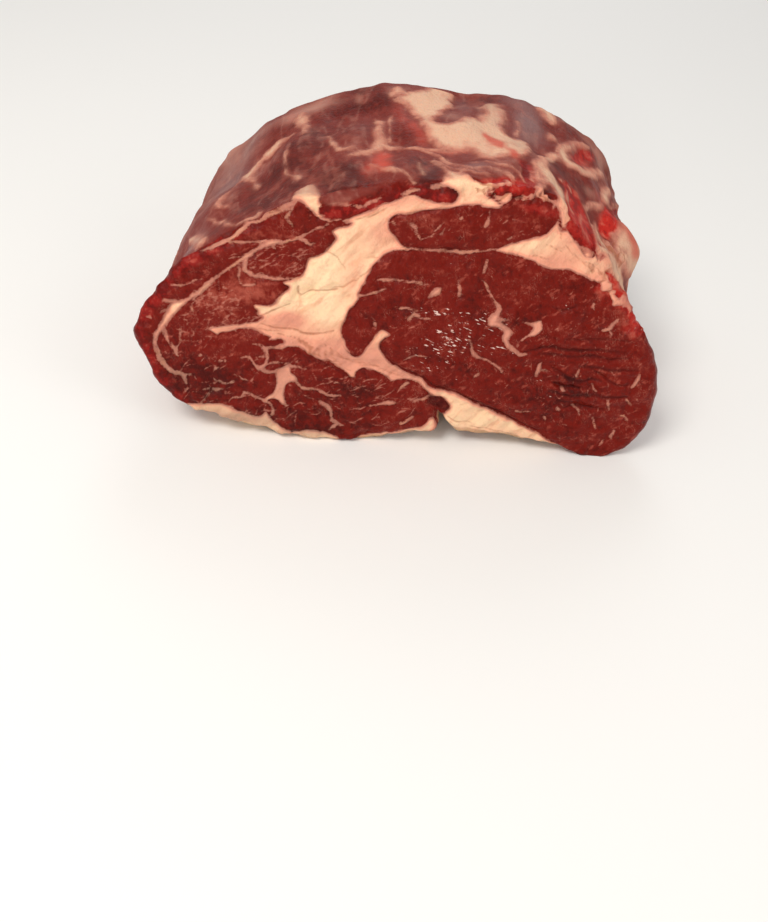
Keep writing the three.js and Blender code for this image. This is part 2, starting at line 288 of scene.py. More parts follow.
# Fat and lean of the cut face: x and height in millimetres; a stroke's third number is its width
cutFace = {
    "fatAreas": [
        # the band between cap and eye, with the hook between the eye's lobes and the wedge under the eye
        [(28, 92.5), (24, 94.5), (24, 100), (14, 100), (13.5, 96.5), (13.7, 94), (12.5, 92), (9, 91.2),
         (5, 91.4), (1, 92.6), (-3, 93.5), (-8, 90.8), (-13, 89), (-14, 88), (-20, 85), (-24, 83.6),
         (-31, 83.4), (-33, 84.4), (-34, 84), (-31, 82.6), (-26, 82.9), (-22, 82), (-24, 81), (-27, 80),
         (-28, 79), (-27, 77), (-28, 75), (-30, 72.5), (-32, 70.8), (-35, 69.5), (-36.5, 67.5),
         (-37, 65), (-38, 63), (-40, 62), (-42, 61.3), (-44.5, 60), (-42.5, 58.3), (-44.5, 56),
         (-46.5, 54), (-48, 52), (-50, 51.3), (-54, 51.5), (-54.5, 50.5), (-53.5, 49), (-53, 47),
         (-51.5, 46.5), (-52.5, 45.4), (-54, 44.2), (-57, 43.7), (-61, 43), (-65, 42.6), (-68, 41.9),
         (-70.6, 40.8), (-68.5, 39.3), (-67.5, 38.6), (-66.5, 39.6), (-62, 40.2), (-60.5, 41.2),
         (-57, 41.6), (-54, 41.3), (-51, 40), (-48.5, 39), (-49.5, 38), (-45, 38.6), (-43.5, 38),
         (-44.5, 36.5), (-49, 35.6), (-45, 35.5), (-42, 36), (-38, 35.7), (-36, 34.5), (-33, 32.5),
         (-30, 31), (-27, 31), (-25.5, 30), (-22, 28), (-20, 26.5), (-18.5, 25.2), (-17, 25.6),
         (-17, 27.5), (-15, 29), (-12, 29), (-8, 28), (-5, 26.5), (-3.5, 25), (-1, 25.5), (2, 25.8),
         (5, 25.4), (8, 23.8), (11, 21.3), (13, 20.2), (17, 18), (18.5, 17), (19.5, 15), (17.5, 13.2),
         (16.8, 12.5), (18, 9.5), (19.5, 2), (40, 1), (57, 1), (62, 0), (68, -1), (66, 1.5), (62, 3.5),
         (57, 6), (52, 8.3), (47, 10.3), (42, 12.5), (36, 15), (30, 17.5), (24, 20.2), (18, 22),
         (13, 22.8), (10, 24.5), (7, 26.8), (3, 28), (0, 29.5), (-3, 31.2), (-6, 33.5), (-8, 36),
         (-9, 38.5), (-8.7, 40), (-7, 42), (-5.5, 43.2), (-7.5, 44.8), (-9, 44.5), (-11, 42),
         (-13, 38.5), (-15, 35.2), (-16.5, 33.6), (-18, 33.4), (-19.5, 34.5), (-20.8, 36.5),
         (-21.5, 39), (-22.5, 41), (-23.2, 43), (-22.7, 46), (-21, 50.5), (-19, 53.5), (-17.5, 56),
         (-17.7, 58), (-16, 62), (-14, 66), (-12, 69.5), (-9, 72), (-5, 73.8), (-1, 74.2), (-4, 75.8),
         (-6, 78), (-8.5, 80.5), (-9.2, 83), (-8.3, 85), (-5, 86.2), (0, 87.2), (5, 88.6), (10, 89.4),
         (15, 90.7), (20, 91.3), (25, 90.6), (28, 91)],
        # over the red end of the flap
        [(6, 98.4), (7.5, 96.8), (10, 96.2), (12.5, 95.4), (13.8, 94.4), (15, 94), (16, 100), (6, 101)],
        # right of the oval muscle, down to the rim
        [(30, 77.2), (34, 79), (38, 80.5), (42, 82), (46, 84), (48, 86.5), (48.7, 88.8), (49.5, 86),
         (50.5, 84.5), (52.5, 85), (54, 83.5), (56.5, 81), (59, 78), (62, 76.5), (66, 79), (74, 73),
         (80, 66), (79, 62), (76, 61), (74, 60), (73, 62), (71, 64.5), (68, 66.3), (65, 67.5), (62, 69),
         (58, 70.5), (54, 71.5), (50, 71), (46, 72.2), (42, 73.5), (38, 74.7), (34, 75.3), (29, 76)],
        # over and right of the oval muscle, out to the rim
        [(29, 92.3), (34, 94), (38, 94.8), (43, 94.6), (46.5, 92.8), (49, 90.5), (50.5, 86), (53, 84.5),
         (57, 80), (62, 76), (68, 79), (62, 86), (54, 93), (46, 98), (38, 100), (30, 100), (23, 100),
         (23.5, 95.5)],
        # fat triangle at the upper rim
        [(-35.5, 97), (-39, 92), (-42, 89.5), (-45, 86.5), (-40, 88), (-37, 87), (-34.5, 84.5),
         (-33, 83.5), (-31, 84), (-31, 86), (-33, 89), (-33.5, 95)],
        # rim under the cap, left, middle and right
        [(-82, 9), (-79.5, 10.8), (-76, 11.3), (-72, 11.7), (-68, 11.8), (-64, 11), (-60, 9.6),
         (-56, 8), (-54, 7.6), (-51.5, 8.2), (-50, 9.3), (-49, 7.5), (-47.5, 6), (-45, 4.3), (-42.5, 3),
         (-40, 1.8), (-42, -4), (-60, 0), (-76, 4)],
        [(-41, 1), (-37, 2.8), (-33, 3), (-29, 2.7), (-26, 1.8), (-22, 0.4), (-24, -4), (-40, -4)],
        [(-14, 0.4), (-8, 2.1), (-4, 3.3), (0, 4.2), (3, 4.9), (6, 5.9), (9, 7.2), (11, 9.5),
         (12.5, 11.2), (14.5, 10.5), (14, 6), (8, 1), (0, -2), (-12, -3)],
        # blotches in the cap and in the eye
        [(-46.5, 25.8), (-44, 27.2), (-41.5, 27.7), (-41, 25.5), (-39.5, 24.5), (-38.8, 22.8),
         (-40.8, 22.3), (-42.5, 20.8), (-43.2, 18.8), (-43.3, 16.5), (-42.5, 14), (-42, 12.2),
         (-43.5, 12.8), (-45, 14.3), (-47.5, 14.8), (-49.5, 14.2), (-50.5, 13.5), (-49.8, 15.5),
         (-47.5, 17), (-46.5, 19.5), (-46, 22), (-46.5, 24)],
        [(44.5, 50.8), (46.5, 51.3), (48.3, 52), (48.5, 50.5), (49.2, 49), (48.5, 47.5), (47, 46.2),
         (45, 45.8), (43, 44), (42, 43.8), (44, 45.8), (45.2, 47.5), (45.8, 49.2), (44, 50.3),
         (41.5, 51)],
    ],
    "seams": [
        # cap: the main seam down to the thin left end, and its branches
        [(-30, 81.5, 0.8), (-34, 79.5, 0.8), (-38, 77, 0.9), (-42, 75, 0.9), (-46, 74, 1.5),
         (-49, 73.8, 2.2), (-52, 72.3, 1.6), (-55, 70.2, 1.6), (-57.5, 68.3, 2), (-60, 66.5, 1.2),
         (-64, 63.5, 1), (-68, 60, 1.3), (-71, 57.5, 1.8), (-74, 54.5, 1.8), (-77, 52.5, 1.7),
         (-80, 50.3, 2.2), (-83, 48.3, 3.6), (-85, 45.5, 3), (-87, 42, 2.4), (-88.8, 39.5, 2.1),
         (-90.3, 36.5, 2), (-90.6, 34, 1.8), (-90, 31, 1.8), (-88.6, 28, 1.8), (-86.5, 25.2, 1.9),
         (-84, 23.6, 1.8), (-81.5, 22.8, 1.6), (-80.5, 21.5, 1.3), (-79.6, 19, 0.7)],
        [(-81.5, 22.8, 0.8), (-79, 22.8, 0.6), (-77, 22.5, 0.3)],
        [(-74, 68.4, 0.6), (-72, 69.6, 1), (-66, 72.5, 2.2), (-62, 75.5, 2.2), (-58, 78.5, 1.5),
         (-54, 80.8, 1.2), (-50, 83, 1), (-46, 84.8, 0.9), (-42, 87, 1.5)],
        [(-64, 72.6, 1), (-58, 73.2, 0.8), (-54, 73.7, 0.8), (-50, 74, 1)],
        [(-57.5, 68.3, 1.8), (-58, 66, 1.6), (-57.5, 63.5, 1.4), (-55, 62, 1.2), (-51, 61.6, 1.2),
         (-47, 61.3, 1.1), (-43, 61.5, 0.9), (-39, 61.5, 0.8)],
        [(-60, 66, 0.6), (-60, 62, 0.7), (-60, 59.5, 0.8), (-58.3, 58, 1), (-56, 58.2, 0.6),
         (-54, 58.8, 0.3)],
        [(-63.5, 67.3, 0.4), (-60, 68.2, 0.6), (-57, 68.5, 0.8)],
        [(-85, 56.5, 0.5), (-81, 56.8, 0.7), (-78, 57.5, 0.7), (-75, 59, 0.6), (-73, 59.3, 0.3)],
        [(-82.5, 50.3, 1.4), (-85, 50.5, 1), (-87, 51, 0.6)],
        [(-83.5, 47.5, 1.8), (-86, 47, 1), (-88, 46.3, 0.5)],
        [(-95.5, 43.3, 0.5), (-93, 44, 0.7), (-91.5, 43.3, 0.3)],
        [(-74.5, 54, 1), (-76, 51.5, 1), (-77, 49, 0.7), (-76.5, 47.5, 0.4)],
        [(-87.5, 41, 1.2), (-86.8, 38, 1.2), (-86, 36, 1.1), (-84.5, 34, 1.2), (-83.3, 33, 1.2),
         (-83.2, 31.5, 0.8), (-82.5, 30, 0.3)],
        [(-83.3, 33, 0.7), (-81.7, 35, 0.7), (-81.5, 38, 0.6), (-81.2, 40.5, 0.3)],
        [(-81.7, 35.7, 0.6), (-78, 35.6, 0.6), (-74, 36.2, 0.5), (-72.5, 36.6, 0.3)],
        [(-39, 76, 1), (-37, 75, 1.4), (-35.5, 74, 0.8), (-34, 74.8, 0.3)],
        [(-49, 73.3, 1), (-48, 72, 0.9), (-47, 71, 0.3)],
        [(-44.3, 83, 0.6), (-43, 84, 0.6), (-41.8, 85.5, 0.3)],
        [(-44, 83, 0.4), (-42.3, 81, 0.4), (-41.5, 79.5, 0.2)],
        [(-67.3, 59, 0.4), (-67, 56.5, 0.6), (-66.8, 55, 0.3)],
        # cap: the net of seams under the band
        [(-55, 36, 0.4), (-53, 36, 1), (-51.5, 35.5, 1.2), (-50.5, 34.5, 1.6), (-50, 33, 1.4),
         (-49.8, 31, 1.2), (-50.2, 29.2, 1.2), (-51, 27.7, 1.4), (-52, 26.8, 1.6)],
        [(-50.3, 35, 1.2), (-47, 35.2, 1.2), (-44, 36, 1.6)],
        [(-59.5, 30.3, 0.3), (-57, 30.7, 0.7), (-55.7, 30.4, 1), (-55, 28.8, 1.2), (-53.5, 27.2, 1.4),
         (-52, 26.6, 1.5), (-50, 25.6, 1.1), (-47.5, 25.6, 1.1), (-45, 26.3, 1.6), (-42.5, 27.6, 1.6),
         (-40, 28.3, 1), (-37.5, 28.1, 0.7), (-35.5, 27.7, 0.3)],
        [(-50.5, 28.8, 0.7), (-47, 29.2, 0.8), (-44, 29.2, 0.9), (-41.5, 28.6, 1)],
        [(-51.5, 31.7, 0.9), (-53.5, 31.2, 0.6)],
        [(-39.5, 23.5, 1.3), (-38, 21.5, 1.2), (-36.5, 20.2, 1.1), (-34, 19.7, 0.9), (-31, 19.5, 0.9),
         (-29, 18.8, 1.1), (-27, 17.8, 1.3), (-24.5, 17.5, 1.1), (-22, 17.7, 0.5)],
        [(-30, 15, 0.5), (-28.3, 13.8, 1.3), (-26.5, 12.7, 1.6), (-25.6, 11, 1.3), (-25.2, 9, 1),
         (-24.4, 7.4, 1.2), (-22.8, 6.3, 1), (-20.5, 5.7, 0.4)],
        [(-23, 6, 1.4), (-24.5, 4.8, 1), (-25.8, 3.5, 0.5)],
        [(-73.5, 17, 0.4), (-71.5, 17.3, 0.7), (-69.5, 16.9, 1.3), (-67.5, 17.2, 0.8), (-66, 17.6, 0.3)],
        [(-71.5, 18.8, 0.3), (-71, 17.3, 0.6)],
        [(-70.5, 16.3, 0.5), (-72.5, 14, 0.4), (-74, 12.3, 0.2)],
        [(-64, 12.5, 0.3), (-63, 14.2, 0.5), (-60.5, 14.7, 0.6), (-59, 15.2, 0.7), (-58.3, 17, 0.9),
         (-56, 16.8, 0.7), (-54, 15.3, 0.8), (-51.5, 14.3, 1.2), (-49.3, 13.6, 1.2), (-48.2, 12.2, 1.1),
         (-47.3, 10.5, 1.1), (-47.6, 8.8, 1), (-48.2, 8, 0.5)],
        [(-69.5, 21.5, 0.3), (-68, 20.7, 0.7), (-65.5, 20, 0.8), (-63, 20.5, 0.7), (-61.5, 21.2, 0.3)],
        [(-62.5, 24, 0.4), (-60.5, 23, 0.6), (-58.5, 22, 0.6), (-56.5, 21.8, 0.3)],
        [(-67.5, 28.3, 0.4), (-65.5, 28.6, 0.7), (-64, 28.2, 0.4)],
        [(-75.5, 30.3, 0.5), (-74, 30.8, 0.9), (-73.2, 30.6, 0.4)],
        [(-69, 25.7, 0.8), (-67.8, 26, 0.4)], [(-39.3, 30.2, 1.1), (-38.2, 30.5, 0.7)],
        [(-12, 14.3, 0.4), (-8, 15, 1.1), (-5, 15.8, 1.8), (-2.5, 16, 1.6), (-1, 15.7, 0.5)],
        [(2, 8.2, 1.6), (4, 9.5, 1.5), (5.8, 11.5, 0.8)],
        [(6, 17.5, 0.4), (9, 18.5, 0.8), (12, 19.8, 0.8), (14, 19.8, 0.5)],
        [(0.5, 22, 0.8), (1.5, 23.3, 1.2), (3, 24.4, 1)], [(-24.5, 23, 0.8), (-22.5, 23, 0.5)],
        # between oval and eye
        [(-4, 75, 0.9), (3, 74.6, 0.9), (10, 74.8, 0.9), (16, 74.6, 1.4), (19, 74.7, 1.3),
         (25, 75.8, 0.8), (30, 76.6, 1), (34, 77.2, 1.4)],
        # eye: the long streak through its middle, and the lesser ones
        [(25, 65.8, 0.6), (26.5, 64.5, 0.9), (28, 61.5, 1), (30, 58.7, 0.9), (32, 56.6, 1),
         (33, 55, 1.6), (32.2, 53.3, 2), (31.5, 51.5, 3.2), (30.5, 49.8, 3), (33, 49.8, 2.4),
         (35.5, 48, 2.2), (37, 46.3, 3), (36.5, 44, 2.6), (37.5, 42.3, 2), (39.5, 40.3, 1.6),
         (41.5, 39, 1.6), (43, 38.5, 1.4), (45, 39, 0.6)],
        [(32, 51.5, 1.5), (34.5, 51.3, 0.8), (36, 51.5, 0.3)],
        [(23.5, 43, 0.8), (24.5, 41, 1), (25, 39, 1), (26, 37, 1.3), (28, 35.8, 0.9), (31, 35.2, 0.8),
         (33.5, 34.2, 0.9), (35.5, 32.7, 1), (37, 31, 0.6)],
        [(-4.5, 53.6, 0.4), (-3, 53.2, 0.9), (0, 53.4, 1), (3, 53, 0.7), (6, 52.6, 0.3)],
        [(1, 49.8, 1.4), (2.5, 51.3, 1.4), (3.5, 51, 1.2), (5.5, 50.3, 0.6), (8, 49.7, 0.3)],
        [(7.5, 57.5, 0.6), (8.5, 59, 1.6), (9.7, 60, 2.4), (10.7, 61, 1.4), (11, 61.5, 0.5)],
        [(17.3, 64.5, 0.6), (17.8, 62, 0.9), (18, 60, 1.4), (18.3, 58.8, 0.4)],
        [(26.2, 72.5, 0.9), (26, 70, 1.1), (25.5, 68.3, 0.8)],
        [(-12, 62.6, 0.6), (-9.5, 63.4, 0.9), (-6, 63.3, 0.8), (-2, 63.3, 0.8), (2, 63, 0.9),
         (4.5, 62.8, 0.6)],
        [(-18, 56.6, 1), (-16, 57.3, 0.8), (-12.5, 58.6, 0.6), (-10, 59.3, 0.7), (-8.5, 59.8, 0.4)],
        [(0.5, 33.8, 0.4), (2, 34.6, 0.7), (4, 35.3, 0.6), (7, 35.3, 0.5), (10, 35, 0.4)],
        [(50.2, 30.5, 1.2), (50.3, 31.5, 2), (50.6, 32.7, 2), (50.8, 34.5, 1.6), (51, 36, 0.6)],
        [(51, 32.3, 0.8), (53, 32.3, 0.6), (55, 32.5, 0.3)],
        [(65.4, 33.5, 1), (65, 31.7, 1.2), (66, 31.6, 0.3)],
        [(87, 28.5, 0.8), (88, 30.5, 1.6), (88.7, 32.5, 1.2), (89, 34.3, 0.5)],
        [(79, 22.5, 0.8), (79.7, 20.8, 0.8), (80.3, 18.8, 0.4)],
        [(86, 23.5, 0.6), (87.3, 22.3, 0.9), (88.5, 20.8, 0.6)],
        [(65.5, 19.5, 0.6), (67.5, 18.8, 0.8), (68.8, 17.7, 0.8), (69.5, 15.8, 0.5)],
        [(75, 14.7, 1.3), (76, 12.8, 0.8), (77, 10.3, 0.5)],
        [(84.5, 9.5, 1.2), (84, 7.5, 1.2), (84, 6, 0.4)],
        [(81.5, 5.5, 0.7), (80.5, 3.8, 0.9), (80, 3, 0.4)],
        [(72, 28.5, 0.9), (72.8, 27, 0.6), (74, 25.5, 0.5)], [(60.3, 26.3, 1.3), (61.3, 25.8, 0.8)],
        [(56, 13.5, 1.4), (56.5, 12.3, 0.7)],
        [(45, 15.7, 1), (47, 15.3, 0.6), (49, 16, 0.7), (50.5, 16, 0.3)],
        [(60.2, 18, 1.4), (60.8, 17.4, 1)], [(85.5, 16.3, 0.4), (87, 16.5, 0.8), (88.3, 14.8, 0.5)],
        [(72, 50.2, 1.2), (74, 51, 1.6), (75.3, 53, 1.2), (76.3, 54.5, 0.8)],
        [(74.5, 49.5, 1.2), (75, 48, 0.6)], [(66.5, 60, 0.6), (67, 58, 0.7), (69, 57, 0.5)],
        [(27.3, 28.5, 1), (28.5, 29.5, 0.9)], [(-11.3, 47, 1.2), (-10.8, 45.8, 0.8)],
        # oval muscle
        [(-8, 84, 0.8), (-7, 83, 0.6)],
        [(-1.5, 83.3, 1), (0, 82.3, 1.2), (0.8, 80.5, 1), (1.8, 79, 1), (2.8, 78.3, 0.6),
         (5, 79.2, 0.5), (6.5, 80, 0.3)],
        [(7, 81.5, 0.5), (8.3, 83, 0.9), (9.3, 84.3, 0.5)], [(8.8, 80.3, 0.8), (9.8, 81, 0.6)],
        [(24.8, 89.5, 0.7), (24.7, 87.5, 0.8), (24.3, 85.3, 1), (24, 84.2, 0.7)],
        [(33, 87.8, 0.6), (33.7, 87, 0.6)], [(16, 86.5, 0.9), (15, 86.3, 0.4)],
        [(32.5, 80.2, 0.5), (34, 81.5, 0.5)],
    ],
    # torn lean at the rim: how vivid, and its outline
    "redAreas": [
        (0.55, [(25, 95.5), (30, 95), (35, 96), (41, 96), (46, 94.2), (49, 92), (53, 90), (50, 97),
                (40, 101), (26, 101)]),
        (0.15, [(35, 92), (39, 93.2), (43, 93), (46.5, 91), (47.8, 89), (44, 89), (38, 90.5)]),
        (0.08, [(-33, 87.5), (-28, 88), (-20, 90), (-14, 92), (-8, 94.5), (-3, 96.5), (1, 97),
                (4, 95.6), (9, 95), (13, 94), (12, 91.6), (6, 91), (0, 92.6), (-8, 90.5), (-16, 86.5),
                (-26, 83.5), (-33, 84)]),
        (0.75, [(69.5, 69), (72, 64.5), (75, 60.5), (78.5, 56.8), (81.5, 52.5), (86, 49), (91, 50),
                (84, 60), (77, 68), (71, 72)]),
        (0.35, [(50.5, 86), (54, 82.5), (58, 79.3), (61, 77), (64, 75.3), (67.5, 74), (71, 76),
                (64, 84), (56, 91)]),
    ],
    # shreds of fat that lie on the torn lean
    "shreds": [
        [(-30, 88.2, 0.3), (-24, 88.4, 0.6), (-19, 88, 0.7), (-15.5, 89.8, 1), (-12.5, 91.6, 0.7)],
        [(-5.5, 93.2, 0.6), (-3.5, 94, 1.8), (-1.5, 94.8, 1.6), (0.5, 94.8, 0.6)],
        [(4, 96, 0.8), (6.5, 96.4, 1.6), (9, 97.4, 1)],
        [(24, 97.5, 0.8), (27, 98.6, 1.6), (30.5, 98, 1.5), (31.5, 96, 0.8)],
        [(15, 99, 0.8), (20, 98.4, 1.4)], [(27, 95, 0.9), (29.5, 94.8, 1.8), (31, 95.8, 1)],
        [(33, 97.8, 0.7), (34.5, 95.6, 1.2), (36, 94.6, 1.6)],
        [(36.5, 95.6, 1.6), (38.5, 95, 2.2), (40.5, 95.6, 1.4)],
        [(22.5, 95.4, 1.2), (24, 96.4, 1), (25.5, 95, 1)],
        [(52, 84.5, 0.6), (57, 80, 0.9), (62, 75.6, 0.6)],
        [(72, 66.5, 0.8), (75, 63.5, 1.3), (78, 59, 0.8)],
        [(80, 57, 0.5), (82.5, 53.5, 0.9), (85, 51, 0.5)],
        [(78, 61, 0.6), (81, 57.5, 1.2), (84, 56, 0.6)], [(84, 53, 0.5), (87, 50, 1), (89, 46.5, 0.5)],
        [(76, 62, 0.5), (79, 60.4, 1.1), (82, 60, 0.5)],
        [(60, 79, 0.8), (64, 76.6, 1.2), (67, 74.6, 0.7)],
    ],
    # where the dried outside reaches over the rim
    "dryAreas": [
        [(-34, 95), (-33, 89.6), (-28, 88), (-23, 89.4), (-19, 91.6), (-14.5, 93.4), (-10, 95.6),
         (-5, 97.2), (0, 98.6), (-6, 101), (-20, 98), (-30, 96)],
    ],
    "darks": [
        # painted shade: the pocket under the flap, and the shade lines of folds in the lean
        [(10.8, 16.6, 1), (12.5, 17.6, 2.4), (15, 17.5, 3.4), (17.5, 16, 3), (19, 14.5, 1.5)],
        [(12, 19.5, 0.6), (15.5, 17.5, 2), (18.5, 15.5, 2)],
        [(44, 39.6, 0.4), (50, 41.5, 0.8), (54, 42.4, 1.1), (60, 41.5, 1.2), (67, 41.8, 1),
         (74, 42.5, 0.8), (82, 42.2, 0.3)],
        [(49, 39.3, 0.4), (55, 39.5, 1.1), (62, 38.9, 0.8), (69, 39.6, 1), (77, 39.2, 0.8),
         (84, 40.1, 0.3)],
        [(56, 34, 0.4), (60, 32, 1), (63, 30.2, 1.4), (67, 29.7, 1.2), (71, 30.6, 1), (75, 30.4, 0.4)],
        [(57, 24.6, 0.4), (62, 23.9, 1), (66, 23.7, 1.3), (73, 24.4, 1.1), (79, 23.8, 1.2),
         (86, 24.8, 0.6)],
        [(66, 35.2, 0.4), (73, 35.4, 0.9), (78, 34.8, 1.2), (83, 35.4, 1), (88, 35.7, 0.5)],
        [(57, 28.3, 0.5), (60, 27.2, 1.1), (64, 27.4, 0.9), (67, 26.6, 0.4)],
        [(52, 57.6, 0.4), (55, 56.6, 0.8), (60, 58.4, 0.5)],
        [(68, 36, 0.4), (73, 33.5, 0.5), (80, 29.8, 0.5), (85, 29.6, 0.3)],
        [(62, 18.6, 0.3), (70, 19.4, 0.5), (78, 18.8, 0.4)],
        [(58, 45.8, 0.2), (66, 46, 0.5), (76, 46.8, 0.4), (84, 46.2, 0.2)],
        # painted shade in the dark line where the lean draws back from its fat
        [(-22.8, 40, 0.2), (-21.2, 36, 0.5), (-19, 33.8, 0.5), (-17, 34, 0.4)],
        [(-8.5, 40, 0.2), (-8, 37, 0.3), (-5, 33.5, 0.4), (0, 30.2, 0.6), (8, 27, 0.6), (13, 23.6, 0.6),
         (20, 22.2, 0.6), (30, 18.2, 0.7), (42, 13.2, 0.6), (54, 8.3, 0.3)],
        [(-8.5, 84.8, 0.1), (-5, 86.5, 0.2), (2, 88, 0.2), (10, 89.8, 0.1)],
        [(-40.5, 34.6, 0.5), (-35, 32, 0.6), (-29, 30, 0.6), (-23, 27.3, 0.6), (-18.5, 24.8, 0.6)],
        [(-49, 50.8, 0.2), (-46, 53.2, 0.4), (-43.5, 57.5, 0.4)],
        # painted shade in the gaps between the shreds at the top rim
        [(23.8, 96.2, 0.8), (25.5, 96.8, 1.4)], [(28.8, 96.2, 0.6), (30, 96.4, 1)],
        [(32.5, 94.6, 1), (35, 95, 1.5)], [(41.5, 96.2, 1.4), (43, 97.2, 2), (44, 98.6, 1.4)],
    ],
    # dark lines in the fat: creases, painted brown as their shade
    "creases": [
        [(-52, 43.5, 0.5), (-46, 42.6, 0.7), (-41, 42.3, 0.6), (-36, 41, 0.9), (-31, 41.4, 0.7),
         (-26, 43, 0.4)],
        [(-38.5, 38, 1), (-35, 36, 1.3), (-32.5, 34.2, 0.5)],
        [(-30, 38, 0.4), (-26, 35.5, 0.6), (-22, 32.5, 0.6), (-17, 31, 0.5), (-12, 31.3, 0.3)],
        [(-39, 58.8, 0.5), (-39.3, 56.5, 0.8), (-38, 55.3, 0.5), (-35, 56.8, 0.4), (-30, 58, 0.5),
         (-25.5, 58.6, 0.6)],
        [(-19, 62, 0.3), (-16, 65, 0.5), (-13.5, 67.5, 0.6)],
        [(-17, 70.3, 0.3), (-14, 71, 0.6), (-12, 71, 0.4)],
        [(42, 75.3, 0.6), (45, 74.9, 0.5), (48, 74.4, 0.3)], [(50.4, 84, 0.6), (50.6, 82, 0.4)],
        [(63.5, 71.2, 0.7), (64.2, 70, 0.5)], [(-52, 47, 0.4), (-47, 50, 0.5), (-42, 52, 0.3)],
        [(-27, 59, 0.4), (-23, 60, 0.5), (-19.5, 62.6, 0.3)],
        [(-30, 72, 0.3), (-26, 70, 0.5), (-23, 66, 0.3)],
        [(53, 79.5, 0.3), (59, 74.8, 0.6), (65, 71, 0.5)],
        [(61, 74.4, 0.4), (66, 72.4, 0.8), (70, 69.4, 0.5)],
        [(67, 70.6, 0.6), (69.5, 68.4, 0.9), (72, 67.6, 0.4)],
        [(46, 79.5, 0.2), (52, 77, 0.4), (56, 74, 0.2)], [(28, 8, 0.2), (38, 7, 0.4), (47, 5, 0.2)],
        [(19, 12, 0.3), (23, 10, 0.5), (29, 9.4, 0.2)],
        [(-46, 40.5, 0.3), (-40, 39.2, 0.6), (-34, 36.6, 0.7), (-28, 33.2, 0.6), (-22, 30, 0.3)],
        [(-36, 34.4, 0.4), (-32.5, 33.2, 1.1), (-29, 31.8, 0.6), (-24, 29.6, 0.5), (-19, 27.8, 0.4)],
        [(-16, 30.2, 0.3), (-9, 30.2, 0.5), (-4, 28, 0.5), (1, 26.6, 0.3)],
        [(-30, 35.6, 0.3), (-25, 33.2, 0.5), (-19, 31.4, 0.3)],
        [(-56, 42, 0.3), (-50, 41.4, 0.4), (-45, 41.6, 0.3)],
        [(-21, 83.2, 0.3), (-14, 85.8, 0.5), (-10, 88.4, 0.4)],
    ],
    # where the lean is lighter or darker: centre, half sizes and amount. The dark ones along the bottom rim
    # are painted shade, which greys the fat there as well
    "tones": [
        (-68, 51, 14, 6, 0.6), (-56, 56, 10, 4.5, 0.6), (-64, 6, 20, 4, -0.8), (-32, 2, 14, 3, -0.5),
        (-55, 77, 9, 3.5, 0.55), (79, 56, 5, 5, 0.8), (42, 89, 9, 4, 0.2), (0, 50, 60, 25, -0.05),
        (-85, 30, 14, 14, -0.25), (-60, 22, 22, 9, -0.2), (-14, 20, 9, 4, -0.4), (-12, 8, 14, 5, -0.3),
        (-35, 8, 14, 5, -0.25), (64, 12, 14, 9, -0.2), (70, 26, 9, 5, -0.25), (62, 31, 6, 3, -0.3),
        (86, 30, 12, 22, 0.3), (-64, 35, 12, 6, 0.5), (-73, 70, 8, 5, -0.1), (-66, 66, 9, 4, -0.1),
        (48, 60, 18, 9, 0.2), (7, 94, 8, 3, -0.2), (14, 84, 24, 7, 0.3), (-58, 62, 12, 6, 0.35),
        (-46, 68, 14, 8, 0.3), (-60, 42, 16, 5, 0.25), (-88, 45, 8, 12, 0.15), (6, 94, 7, 2, -0.5),
        (54, 20, 12, 7, -0.25), (-72, 21, 13, 9, -0.5), (-38, 16, 12, 8, -0.22), (12, 84, 16, 5, 0.12),
        (2, 84, 10, 6, 0.15), (-41, 83.5, 5, 3, -0.15),
    ],
    # where the fat is pinker, the same way
    "pinks": [
        (-33, 43, 12, 4, 0.3), (-10, 92, 22, 3, 0.2), (-24, 33, 22, 8, 1.5), (-40, 46, 5, 3, 0.6),
        (-62, 41, 10, 3, 0.9), (6, 28, 14, 6, 1), (-10, 80, 9, 9, 0.8), (-20, 64, 5, 12, 0.5),
        (72, 66, 9, 9, 0.8), (45, 73, 20, 4, 0.6), (56, 86, 10, 10, 1), (40, 96, 16, 4, 0.9),
        (-48, 44, 8, 4, 0.7), (-8, 91, 14, 4, 0.2), (35, 5, 22, 3, 0.4), (-60, 5, 26, 7, 0.25),
        (-36, 88, 7, 7, 0.15), (4, 92, 22, 5, 0.45), (0, 4, 18, 6, 0.4), (-44, 20, 5, 9, 1.2),
        (38, 46, 34, 22, 1.5), (-62, 24, 22, 12, 0.8), (-44, 47, 6, 3, 0.6), (-44, 37.6, 7, 2, 0.7),
    ],
    # fat torn into shreds, the same way
    "shredded": [
        (33, 96.8, 13, 3.6, 1), (72, 66, 7, 6, 0.8), (84, 52, 5, 6, 0.8), (47, 91, 4, 2.5, 0.6),
    ],
    # where the cut is wet, with coat gloss and glints painted in, the same way
    "wets": [
        (13, 37, 13, 8, 0.88), (22, 45, 18, 9, 0.8), (10, 52.6, 12, 1.6, 1.05), (5, 30, 8, 2, 0.8),
        (25, 62, 3, 1, 0.9), (57, 58, 4, 2.5, 0.9), (34, 40, 6, 5, 0.5), (3, 80.5, 4, 2.5, 0.7),
        (35, 73.6, 6, 0.9, 0.7), (56, 24, 8, 5, 0.6), (58, 40, 12, 3, 0.7), (30, 51, 10, 5, 0.5),
        (76, 42, 9, 3, 0.4),
    ],
}

